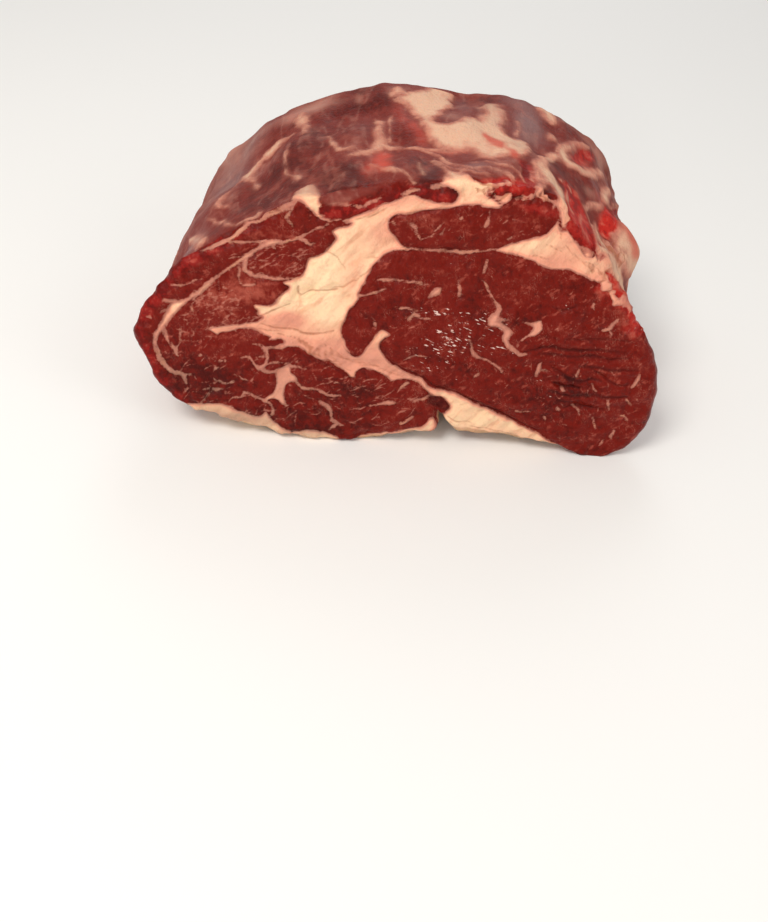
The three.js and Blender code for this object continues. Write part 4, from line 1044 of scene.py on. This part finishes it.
# Lighter and darker lean, pinker fat, and what lies over the outside: cap, tissue, blushes and purple film
cover = {
    "sidePink": 0.6,
    # tissue runs in streaks round the girth: how much of girth and of depth counts, and their wave
    "streakWay": (0.25, 0.1), "streakWave": (0.2, 6, 81),
    "veilLess": 0.08, "veilUnseen": 0.3,  # tissue: what is taken off, and what unseen places add
    "coolLess": 0.05, "coolNoise": (0.08, 0.4),  # film: what is taken off; its noise, and more where unseen
}
tone = bothValues(bellsAt(x, z, cutFace["tones"]),
                  bellsAt(girth[onSide], behind[onSide], outside["tones"]))
pink = bothValues(bellsAt(x, z, cutFace["pinks"]), cover["sidePink"])
cap = np.zeros(len(plain))
cap[onSkin] = under * (1 - cutShare[onSkin])
ofGirth, ofDepth = cover["streakWay"]
streak = drawnNoise(cover["streakWave"], girth * ofGirth + behind * ofDepth, behind, 0 * girth)
unseen = np.clip(unseenAt(girth) + smoothStep(*pattern["farEnd"], behind), 0, 1)
veil = (bellsAt(girth, behind, outside["veils"]) - cover["veilLess"] + cover["veilUnseen"] * unseen
        + streak + noiseOf("veil") + noiseOf("veilUnseen") * unseen)
blush = np.where(onFace, 0, bellsAt(girthWarp, behindWarp, outside["blushes"]))
seenNoise, unseenNoise = cover["coolNoise"]
cool = (bellsAt(girth, behind, outside["cools"]) - cover["coolLess"]
        + (seenNoise + unseenNoise * unseen) * noiseOf("cool"))

# Dryness: none on the fresh cut, all over the outside and the old back end, less where muscles are moist
dryness = {"edge": (-0.7, 0.7), "start": (1, 5), "moistEdge": (-1, 2), "moistLess": 0.45}
rimDepth = plain[:, 1] - (-steak["depth"] / 2 + (plain[:, 2] - steak["middle"][1])
                          * math.tan(math.radians(steak["faceLean"])))
dryOver = bothDepths(depthOf(x, z, cutFace["dryAreas"]), farAway) + noiseOf("dryOver")
dry = np.where(onFace, smoothStep(*dryness["edge"], dryOver),
               smoothStep(*dryness["start"], rimDepth + noiseOf("dryStart")))
moist = smoothStep(*dryness["moistEdge"], bothDepths(farAway, depthOf(u, v, outside["moistAreas"])))
dry = np.where(onSide, dry * (1 - dryness["moistLess"] * moist), np.where(onBack, 1.0, dry))
wet = np.where(onFace, bellsAt(cutX, cutZ, cutFace["wets"]), 0)

print("stage: relief")
relief = {
    # steps of the surface: height in millimetres, and the depths between which it is reached
    "crease": (-0.5, -0.2, 0.5), "dark": (-0.9, -0.9, 0.5), "shred": (1.5, -1, 0.6),
    "sideFat": (0.6, -0.5, 1.2), "sideRed": (-0.6, -0.5, 1.5), "sideDark": (-0.8, -1, 2),
    "leanEdge": (-0.3, 0.3),  # depths of fat between which lean gives way to it
    "leanRise": (0.55, 2.5),  # lean stands up by this, growing over this distance from the fat
    "borderDip": (-0.25, 0.5), "creaseDip": (-0.45, 1.6),  # bells along borders and creases: height, reach
    "fatDip": (-0.06, 4),  # fat sinks by this for each of its depth, up to this depth
    "foldTurn": 52.0,  # folds of the fat run along the band, in degrees
    # wave of each, what is left of its length, and of the way through the steak
    "folds": ((0.9, 4.5, 57), 0.3), "fineFolds": ((0.35, 2.2, 59), 0.25), "foldThrough": 0.3,
    # knife ripples right of the eye: centre and half sizes, length, lean, heights of wave and ridge, and
    # the power by which they fade to the rim
    "rippleArea": (72, 32, 22, 15, 1), "rippleLength": 6.5, "rippleLean": 0.06,
    "rippleHeights": (0.7, -0.3), "rippleRim": 6,
    "bead": (0.22, 1.7, 56), "beadLean": (0.5, -0.2),  # wet beads: wave, and how much x and height count
    "backShare": 0.6,  # how much of the cut's relief the old back end keeps
    # torn rim: reach on the cut and behind it; what the eye's bulge takes off, its direction and reach
    "tornReach": (4, 6), "eyeCalm": (0.75, -15, 45),
}


# A step of the surface: its height times the smooth step of a depth
def stepOf(name, depth):
    height, low, high = relief[name]
    return height * smoothStep(low, high, depth)


# A bell along a border: its height times the bell of a distance
def bellOf(name, distance):
    height, reach = relief[name]
    return height * bell(distance / reach)


leanRise, leanReach = relief["leanRise"]
fatDip, fatDeepest = relief["fatDip"]
lean = smoothStep(*relief["leanEdge"], -fat)
cutRelief = (leanRise * (1 - np.exp(-np.clip(-fat, 0, -farAway) / leanReach))
             + fatDip * np.clip(fat, 0, fatDeepest)
             + bellOf("borderDip", fat) + bellOf("creaseDip", np.clip(-crease, 0, -farAway))
             + stepOf("crease", crease) + stepOf("dark", dark) + noiseOf("cutRelief"))
# Soft folds of the fat, drawn out along the band
foldTurn = math.radians(relief["foldTurn"])
lengthways = plain[:, 0] * math.cos(foldTurn) + plain[:, 2] * math.sin(foldTurn)
crossways = plain[:, 2] * math.cos(foldTurn) - plain[:, 0] * math.sin(foldTurn)
through = plain[:, 1] * relief["foldThrough"]
folds = sum(drawnNoise(wave, lengthways * stretch, through, crossways)
            for wave, stretch in (relief["folds"], relief["fineFolds"]))
cutRelief += (1 - lean) * (folds + noiseOf("fatRelief"))
# Ripples that the knife left across the right of the eye
phase = (cutZ + noiseOf("rippleShift") + relief["rippleLean"] * cutX) / relief["rippleLength"]
wave = np.sin(2 * math.pi * phase)
waveHeight, ridgeHeight = relief["rippleHeights"]
ripple = bellsAt(cutX, cutZ, [relief["rippleArea"]]) * (1 - zones["share"]**relief["rippleRim"]) * lean
cutRelief += ripple * (waveHeight * wave + ridgeHeight * np.abs(wave)) * (1 + noiseOf("rippleHeight"))
# Wet beads left of the eye's middle
beadX, beadZ = relief["beadLean"]
cutRelief += wet * lean * drawnNoise(relief["bead"], plain[:, 0] * beadX + plain[:, 2] * beadZ,
                                     0 * plain[:, 1], plain[:, 2])
sideRelief = (noiseOf("sideRelief") + stepOf("sideFat", fat) + stepOf("sideRed", red)
              + stepOf("sideDark", dark))
sideRelief -= np.where(onSide, bellsAt(girth, behind, outside["hollows"]), 0)
rise = np.where(onFace, cutRelief, sideRelief + onBack * relief["backShare"] * cutShare * cutRelief)
# The rim is torn and crumpled, least where the eye muscle bulges over it
cutReach, sideReach = relief["tornReach"]
calm, towards, wide = relief["eyeCalm"]
crumpled = bell(np.where(onFace, fromRim / cutReach, behind / sideReach))
crumpled *= 1 - calm * bell(turnedFrom(zones["angle"], towards) / wide)
rise += np.where(onBack, 0, crumpled * noiseOf("tornRelief"))
rise += shredded * lumpy * stepOf("shred", fat)
dressed = plain + normals * rise[:, None]
dressed[:, 2] = np.maximum(dressed[:, 2], steak["restHeight"])

# The solid's own place: origin in the middle of its box, at the height of the face that it rests on
lowCorner, highCorner = plain.min(0), plain.max(0)
shift = -(lowCorner + highCorner) / 2
shift[2] = -steak["restHeight"]
print("form", (lowCorner + shift).round(2), (highCorner + shift).round(2))


# A mesh object from places, sets of faces with three or four corners each, and a material
def addMesh(name, places, faceSets, material):
    mesh = bpy.data.meshes.new(name)
    mesh.vertices.add(len(places))
    mesh.vertices.foreach_set("co", places.astype(np.float32).ravel())
    corners = np.concatenate([faces.ravel() for faces in faceSets]).astype(np.int32)
    sizes = np.concatenate([np.full(len(faces), faces.shape[1]) for faces in faceSets])
    mesh.loops.add(len(corners))
    mesh.loops.foreach_set("vertex_index", corners)
    mesh.polygons.add(len(sizes))
    mesh.polygons.foreach_set("loop_start", np.concatenate([[0], np.cumsum(sizes)[:-1]]).astype(np.int32))
    mesh.update(calc_edges=True)
    mesh.validate()
    mesh.shade_smooth()
    mesh.materials.append(material)
    made = bpy.data.objects.new(name, mesh)
    bpy.context.scene.collection.objects.link(made)
    return made


# One number for each vertex, which the material reads by its name
def addValues(piece, name, values):
    layer = piece.data.attributes.new(name, "FLOAT", "POINT")
    layer.data.foreach_set("value", np.asarray(values, np.float32))


print("stage: finish")
# Colours of the screen, 0 to 255
colours = {
    "leanDark": (72, 5, 0), "leanMid": (114, 17, 4), "leanLight": (164, 74, 58),
    "dryDark": (84, 28, 24), "dryMid": (122, 46, 38), "dryLight": (158, 84, 72),
    "filmGrey": (136, 102, 100), "filmPale": (190, 136, 120),
    "redBright": (142, 22, 16), "redDeep": (100, 8, 4), "redPale": (196, 90, 74),
    "redVivid": (200, 40, 30), "redSalmon": (214, 108, 88), "marbling": (176, 84, 68),
    # a painted highlight: the pale colour that glints take on the wet cut
    "blushRed": (198, 78, 62), "paintedGlint": (248, 214, 200),
    "fatCream": (254, 216, 175), "fatPink": (239, 164, 135), "fatSeam": (208, 138, 118),
    "fatDry": (222, 176, 148), "fatDryPink": (206, 140, 118), "septum": (178, 108, 92),
    # painted shade: the darker colour that the fat takes along its folds
    "fatGrey": (176, 136, 116), "paintedFoldShade": (226, 160, 124),
    # painted shade: the brown that creases and gaps in the fat are given
    "capCream": (222, 186, 140), "capGrey": (140, 114, 92), "paintedCreaseShade": (168, 96, 64),
}
shade = (0.3, 0.16, 0.13, 1)  # painted shade: what the dark lines, pockets and gaps are multiplied by
# Noises of the surface: scale, detail, roughness, stretch, turn in degrees and distortion
grains = {
    "blotch": (60, 4), "middling": (170, 4), "small": (480, 3), "fine": (1300, 2),
    "fibre": (330, 3, 0.6, (1, 4, 1), 0, 0.4),
    "cutGrain": (620, 3, 0.6, (1, 1, 2.6), -20, 0.8),
    "layers": (230, 3, 0.6, (3.2, 1, 1), 4),
    "bandFolds": (300, 3, 0.6, (4, 1, 1), -50, 0.3),
    "specks": (460, 3, 0.6, (1.8, 1, 1), -40),
    "strands": (85, 2, 0.5, (1, 3.6, 1)),
    "glints": (1350, 2, 0.5, (3.6, 1, 1), 18),
}
# Thin walls between the bundles of muscle, warped by a noise: its scale, detail and how far it moves them
walls = {"scale": 75, "longer": (1, 0.55, 1), "warp": (130, 2, 0.012)}
# Values made from one other value: what it is multiplied by, and what is then added
levels = {
    "freshLevel": ("tone", 0.5, 0.42), "dryLevel": ("tone", 0.6, 0.48), "paleShare": ("tone", 1.4, 1),
    "greyShare": ("tone", -1, 0), "calm": ("dry", -0.4, 1), "dryFat": ("dry", 0.9, 0),
    "borderStart": ("dry", -0.62, -0.28), "borderEnd": ("dry", 0.62, 0.28), "dull": ("dry", 0.2, 0.38),
    "wetness": ("wet", 0.18, -0.2), "webGrain": ("cutGrain", 1, -0.5), "strandGrain": ("strands", 1, -0.5),
}
heldLevels = ("paleShare", "greyShare")  # those that are held between 0 and 1
# Values with a share of each noise added, counted from the middle of the noise's range
mixes = {
    "freshTone": ("freshLevel", {"blotch": 0.6, "middling": 0.35, "small": 0.75, "cutGrain": 0.5,
                                 "fine": 0.3, "layers": 0.75}),
    "dryTone": ("dryLevel", {"blotch": 0.8, "middling": 0.45, "fibre": 0.35, "small": 0.35}),
    "film": ("cool", {"middling": 0.3}), "pale": ("veil", {"middling": 0.3, "small": 0.12}),
    "coral": ("blush", {"middling": 0.5}), "halo": ("fat", {"middling": 2.4}),
    "strand": ("strandGrain", {"small": 0.03}), "wallDistance": ("wallEdge", {"small": 0.05}),
    "tornRed": ("red", {"middling": 2.4, "small": 0.9}),
    "streaks": ("middling", {"fibre": 1.1, "layers": 0.5, "small": 0.3}),
    "flecked": ("fleck", {"small": 0.7, "fine": 0.4}),
    "deepFat": ("fat", {"middling": 1.0}), "creamFat": ("fat", {"middling": 3.4, "bandFolds": 2.2}),
    "rosy": ("pink", {"middling": 0.8, "bandFolds": 1.2}), "smallFine": ("small", {"fine": 0.4}),
    "dullGrain": ("middling", {"small": 0.5}), "dullFat": ("fat", {"middling": 2.5, "blotch": 2.0}),
    "dullBlotch": ("blotch", {"fibre": 0.5}),
    "creased": ("crease", {"small": 0.6}), "darkened": ("dark", {"small": 0.6}),
}
# Masks: a value, between which amounts its smooth step rises, and to how much
masks = {
    "freshToMid": ("freshTone", -0.05, 0.5, 1), "freshToLight": ("freshTone", 0.5, 1.1, 1),
    "webLine": ("web", 0.02, 0, 1), "webPatch": ("middling", 0.5, 0.62, 0.3),
    "speckMask": ("specks", 0.57, 0.72, 0.5),
    "dryToMid": ("dryTone", 0, 0.5, 1), "dryToLight": ("dryTone", 0.5, 1.05, 1),
    "filmMask": ("film", 0, 1, 0.85), "paleMask": ("pale", 0, 1.1, 0.9),
    "coralMask": ("coral", 0, 1.1, 0.9),
    "wallLine": ("wallDistance", 0.15, 0, 1), "wallPatch": ("blotch", 0.42, 0.62, 0.25),
    "strandLine": ("strandWidth", 0.045, 0, 1), "strandPatch": ("middling", 0.4, 0.62, 0.22),
    "haloMask": ("halo", -2, 0.4, 0.34), "redMask": ("tornRed", -1.2, 1.6, 0.92),
    "streakBright": ("streaks", 0.36, 0.62, 1), "streakPale": ("streaks", 0.64, 0.86, 0.6),
    "vividSalmon": ("streaks", 0.5, 0.72, 0.8), "vividBright": ("streaks", 0.46, 0.3, 0.8),
    "fleckMask": ("flecked", -0.2, 0.25, 0.5), "deepMask": ("deepFat", 0.5, 1.6, 1),
    "creamMask": ("creamFat", 0.3, 3.4, 1), "foldShadeMask": ("bandFolds", 0.5, 0.72, 0.6),
    "rosyMask": ("rosy", 0.4, 1.9, 0.9), "grainMask": ("smallFine", 0.5, 0.75, 0.3),
    "dullPink": ("dullGrain", 0.35, 0.65, 1), "dullCream": ("dullFat", 0.8, 3.6, 1),
    "dullPatch": ("dullBlotch", 0.5, 0.68, 0.5), "capPatch": ("blotch", 0.42, 0.6, 1),
    "creaseShadeMask": ("creased", -0.35, 0.4, 0.65), "paintedShadeMask": ("darkened", -0.5, 0.6, 0.75),
}
surface = {
    # noise that breaks up the border of the fat where it is fresh, and where it is dry
    "ragged": {"middling": 1.1, "small": 1.3, "fine": 0.6}, "raggedDry": {"middling": 1.3},
    # lean shows through thin seams: depths of fat between which its cover grows, to how much, and from
    "thinFat": (0.1, 1.3, 1.0, 0.62),
    "wet": (0.6, 0.66), "paintedGlintShare": 0.75,  # where glints start and are full, and how much of their painted highlight colour shows
    "dullFilm": 0.6, "dullCoral": 0.9, "capShare": 0.85,  # film and blush on dull fat; the cap's colour
    "fatRough": 0.08, "wetRough": -0.16, "grainRough": {"small": 0.25},  # added to the roughness
    "bumps": {"small": 1.0, "cutGrain": 0.6, "fine": 0.25, "dryFibre": 0.5, "fatFolds": 1.2},
    "bump": 0.55, "bumpDepth": 0.0009,  # strength and depth of the finest relief
    "shader": {"Subsurface Weight": 0.12, "Subsurface Radius": (1.0, 0.35, 0.22),
               "Subsurface Scale": 0.002, "Specular IOR Level": 0.14, "Coat Roughness": 0.15},
}
# What the finish reads at each vertex
values = {"fat": fat, "fleck": flecks, "crease": crease, "red": red, "dark": dark, "vivid": vivid,
          "tone": tone, "pink": pink, "cap": cap, "dry": dry, "wet": wet, "veil": veil, "cool": cool,
          "blush": blush}
beef = bpy.data.materials.new("aged beef")
beef.use_nodes = True
tree = beef.node_tree
tree.nodes.clear()


# A colour of the screen as the renderer's own values, by the curve that screens use
def linear(*screen):
    parts = (part / 255 for part in screen)
    return (*(((part + 0.055) / 1.055)**2.4 if part > 0.04 else part / 12.92 for part in parts), 1)


known = {name: linear(*colour) for name, colour in colours.items()}


# A node with its inputs set or linked; a word stands for what is known by that name
def node(kind, links=None, **settings):
    made = tree.nodes.new("ShaderNode" + kind)
    for key, value in settings.items():
        setattr(made, key, value)
    for key, value in (links or {}).items():
        value = known[value] if isinstance(value, str) else value
        if isinstance(value, bpy.types.NodeSocket):
            tree.links.new(value, made.inputs[key])
        else:
            made.inputs[key].default_value = value
    return made


# Arithmetic with one to three numbers
def calc(operation, *numbers, clamp=False):
    return node("Math", dict(enumerate(numbers)), operation=operation, use_clamp=clamp).outputs[0]


# The product of numbers
def product(result, *factors):
    for factor in factors:
        result = calc("MULTIPLY", result, factor)
    return result


# A number plus its share of each noise, less half of that share
def mixed(result, noises):
    for name, share in noises.items():
        result = calc("ADD", result, calc("MULTIPLY_ADD", name, share, -share / 2))
    return result


# A smooth step of a number from low to high, rising from start to end
def step(number, low, high, end=1.0, start=0.0):
    return node("MapRange", {"Value": number, "From Min": low, "From Max": high, "To Min": start,
                             "To Max": end}, interpolation_type="SMOOTHSTEP").outputs["Result"]


# A colour over another, mixed or multiplied by the amount
def blend(amount, under, over, kind="MIX"):
    return node("Mix", {0: amount, 6: under, 7: over}, data_type="RGBA", blend_type=kind).outputs[2]


# Colours laid over one another, each by its amount
def coats(colour, *layers):
    for amount, over in layers:
        colour = blend(amount, colour, over)
    return colour


# A noise of the surface, drawn out along its own axes, which are turned about Y
def grain(scale, detail, rough=0.55, longer=(1, 1, 1), turn=0, distort=0):
    mapped = node("Mapping", {"Vector": "place", "Scale": longer, "Rotation": (0, math.radians(turn), 0)},
                  vector_type="TEXTURE").outputs["Vector"]
    return node("TexNoise", {"Vector": mapped, "Scale": scale, "Detail": detail, "Roughness": rough,
                             "Distortion": distort}).outputs["Fac"]


# Distance from the nearest wall between random cells, whose places a noise has moved
def wallEdge():
    scale, detail, most = walls["warp"]
    noise = node("TexNoise", {"Vector": "place", "Scale": scale, "Detail": detail}).outputs["Color"]
    moved = node("VectorMath", {0: noise, "Scale": most}, operation="SCALE").outputs[0]
    warped = node("VectorMath", {0: "place", 1: moved}, operation="ADD").outputs[0]
    longer = node("Mapping", {"Vector": warped, "Scale": walls["longer"]}).outputs["Vector"]
    return node("TexVoronoi", {"Vector": longer, "Scale": walls["scale"]},
                feature="DISTANCE_TO_EDGE").outputs["Distance"]


known["place"] = node("TexCoord").outputs["Object"]
for name in values:
    known[name] = node("Attribute", attribute_name=name).outputs["Fac"]
for name, settings in grains.items():
    known[name] = grain(*settings)
for name, (number, factor, start) in levels.items():
    known[name] = calc("MULTIPLY_ADD", number, factor, start, clamp=name in heldLevels)
known["wallEdge"] = wallEdge()
for name, (number, noises) in mixes.items():
    known[name] = mixed(number, noises)
known["web"] = calc("ABSOLUTE", "webGrain")
known["strandWidth"] = calc("ABSOLUTE", "strand")
for name, (number, low, high, end) in masks.items():
    known[name] = step(number, low, high, end)

# Fresh lean, from dark to light, with a web of pale lines and specks where it is light
fresh = coats("leanDark", ("freshToMid", "leanMid"), ("freshToLight", "leanLight"),
              (product("webLine", "webPatch", "paleShare"), "fatSeam"),
              (product("speckMask", "paleShare"), "marbling"))
# Dried lean, under purple film and thin pale tissue, with walls and strands, and a skin of fat beside fat
dried = coats("dryDark", ("dryToMid", "dryMid"), ("dryToLight", "dryLight"), ("filmMask", "filmGrey"),
              ("paleMask", "filmPale"), ("coralMask", "blushRed"),
              (product("wallLine", "wallPatch"), "septum"),
              (product("strandLine", "strandPatch"), "filmPale"), ("haloMask", "septum"))
# Torn, still fresh places, some of them vivid; then thin flecks, and glints painted in as a pale highlight
# colour where the coat also shines
tornRed = coats("redDeep", ("streakBright", "redBright"), ("streakPale", "redPale"))
live = coats("redVivid", ("vividSalmon", "redSalmon"), ("vividBright", "redBright"))
wetGlintMask = step(calc("ADD", "glints", "wetness"), *surface["wet"])
leanColour = coats(fresh, ("dry", dried), ("redMask", blend("vivid", tornRed, live)),
                   ("fleckMask", "fatSeam"), (product(wetGlintMask, surface["paintedGlintShare"]), "paintedGlint"))
# Fat: cream inside, pinker near the lean, painted shade on its folds, dull on the dried outside, grey
# underneath, greyer where the tone is low (painted shade on the bottom rim), painted brown shade in creases
creamy = calc("SUBTRACT", "creamMask", "pink", clamp=True)
freshFat = coats("fatSeam", ("deepMask", "fatPink"), (creamy, "fatCream"), ("foldShadeMask", "paintedFoldShade"),
                 ("rosyMask", "fatSeam"), ("grainMask", "fatPink"))
dullFat = coats("septum", ("dullPink", "fatDryPink"), ("dullCream", "fatDry"), ("dullPatch", "fatDryPink"),
                (product("filmMask", surface["dullFilm"]), "filmGrey"),
                (product("coralMask", surface["dullCoral"]), "blushRed"))
# Greyer where the tone is low: along the bottom rim of the cut this is painted shade, elsewhere the fat's
# own duller tone
fatColour = coats(freshFat, ("dry", dullFat), ("greyShare", "fatGrey"),
                  (product("cap", surface["capShare"]), blend("capPatch", "capCream", "capGrey")),
                  ("creaseShadeMask", "paintedCreaseShade"))
# Noise breaks up the border between them, which is softer where dry; thin seams let the lean through
ragged = product(mixed(0.0, surface["ragged"]), "calm")
border = calc("ADD", calc("ADD", "fat", ragged), product(mixed(0.0, surface["raggedDry"]), "dry"))
fatMask = step(border, "borderStart", "borderEnd")
opaque = calc("MAXIMUM", step("fat", *surface["thinFat"]), "dryFat")
colour = blend(product(fatMask, opaque), leanColour, fatColour)
# Painted shade: dark lines, pockets and gaps are multiplied darker
colour = blend("paintedShadeMask", colour, shade, "MULTIPLY")
# Gloss and the finest relief
gloss = mixed(calc("MULTIPLY_ADD", fatMask, surface["fatRough"], "dull"), surface["grainRough"])
gloss = calc("MULTIPLY_ADD", wetGlintMask, surface["wetRough"], gloss, clamp=True)
known["dryFibre"] = product("fibre", "dry")
known["fatFolds"] = product("bandFolds", fatMask)
height = 0.0
for name, share in surface["bumps"].items():
    height = calc("MULTIPLY_ADD", name, share, height)
bump = node("Bump", {"Height": height, "Strength": surface["bump"], "Distance": surface["bumpDepth"]})
shader = node("BsdfPrincipled", {
    "Base Color": colour, "Roughness": gloss, "Normal": bump.outputs["Normal"], "Coat Weight": wetGlintMask,
    **surface["shader"]}, subsurface_method="RANDOM_WALK")
node("OutputMaterial", {"Surface": shader.outputs["BSDF"]})

print("stage: the piece")
piece = addMesh("aged_ribeye", (dressed + shift) * mm, (fours, threes), beef)
flatEnds = steakPoint(zones["angle"], np.where(onBack, 1.0, 0.0), zones["share"], zones["inset"])
bake = piece.data.uv_layers.new(name="OFBake")
bakeSpots = bakePlaces(face, rows, back, dressed, flatEnds[:, [0, 2]])
bake.data.foreach_set("uv", bakeSpots.astype(np.float32).ravel())
for name, numbers in values.items():
    addValues(piece, name, numbers)
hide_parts("ribeye_steak")
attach(piece, "root")

print("stage: floor, light and camera")
studio = {
    "floorColour": (0.9, 0.895, 0.885, 1), "floorHalf": 3.0, "floorRough": 0.9,
    "world": (1.0, 0.985, 0.955, 1), "worldStrength": 0.5,
    # name, place and size in metres, watts, colour; every lamp looks at the point named aim
    "lamps": [("key", (-0.4, -0.4, 0.85), 0.4, 5.2, (1, 0.95, 0.88)),
              ("front", (-0.25, -0.85, 0.38), 0.12, 0.9, (1, 0.98, 0.95)),
              ("fill", (0.7, -0.5, 0.6), 0.5, 1.2, (1, 0.98, 0.96)),
              ("rear", (0.1, 1.1, 0.9), 0.7, 3, (0.97, 0.98, 1))],
    "aim": (0, 0, 0.05),
    "cameraPlace": (-0.02274, -0.33003, 0.23935), "lens": 36.31, "clipStart": 0.01,
    "cameraRight": (0.99705, 0.0, 0.07672), "cameraUp": (-0.05647, 0.67688, 0.73393),
}


# An object in the scene at its place, turned so that its axes are right, up and back
def setUp(name, data, place, right, up, back):
    made = bpy.data.objects.new(name, data)
    turn = Matrix(np.column_stack([right, up, back]).tolist()).to_4x4()
    made.matrix_world = Matrix.Translation(place) @ turn
    bpy.context.scene.collection.objects.link(made)
    return made


half = studio["floorHalf"]
grey = bpy.data.materials.new("pale floor")
grey.use_nodes = True
floorShader = grey.node_tree.nodes["Principled BSDF"]
floorShader.inputs["Base Color"].default_value = studio["floorColour"]
floorShader.inputs["Roughness"].default_value = studio["floorRough"]
floorGrid = np.array([(-half, -half, 0), (half, -half, 0), (half, half, 0), (-half, half, 0)])
addMesh("floor", floorGrid, (np.array([[0, 1, 2, 3]]),), grey)

world = bpy.data.worlds.new("studio")
bpy.context.scene.world = world
world.use_nodes = True
background = world.node_tree.nodes["Background"]
background.inputs["Color"].default_value = studio["world"]
background.inputs["Strength"].default_value = studio["worldStrength"]
for name, place, size, watts, colour in studio["lamps"]:
    lamp = bpy.data.lights.new(name, "AREA")
    lamp.shape, lamp.size, lamp.energy, lamp.color = "DISK", size, watts, colour
    away = np.array(place) - studio["aim"]
    away /= np.linalg.norm(away)
    right = np.cross((0, 0, 1), away)
    right /= np.linalg.norm(right)
    setUp(name, lamp, place, right, np.cross(away, right), away)

camera = bpy.data.cameras.new("camera")
camera.lens, camera.sensor_width, camera.sensor_fit = studio["lens"], 36.0, "AUTO"
camera.clip_start = studio["clipStart"]
right, up = np.array(studio["cameraRight"]), np.array(studio["cameraUp"])
bpy.context.scene.camera = setUp("camera", camera, studio["cameraPlace"], right, up, np.cross(right, up))
bpy.context.scene.view_settings.view_transform = "Standard"
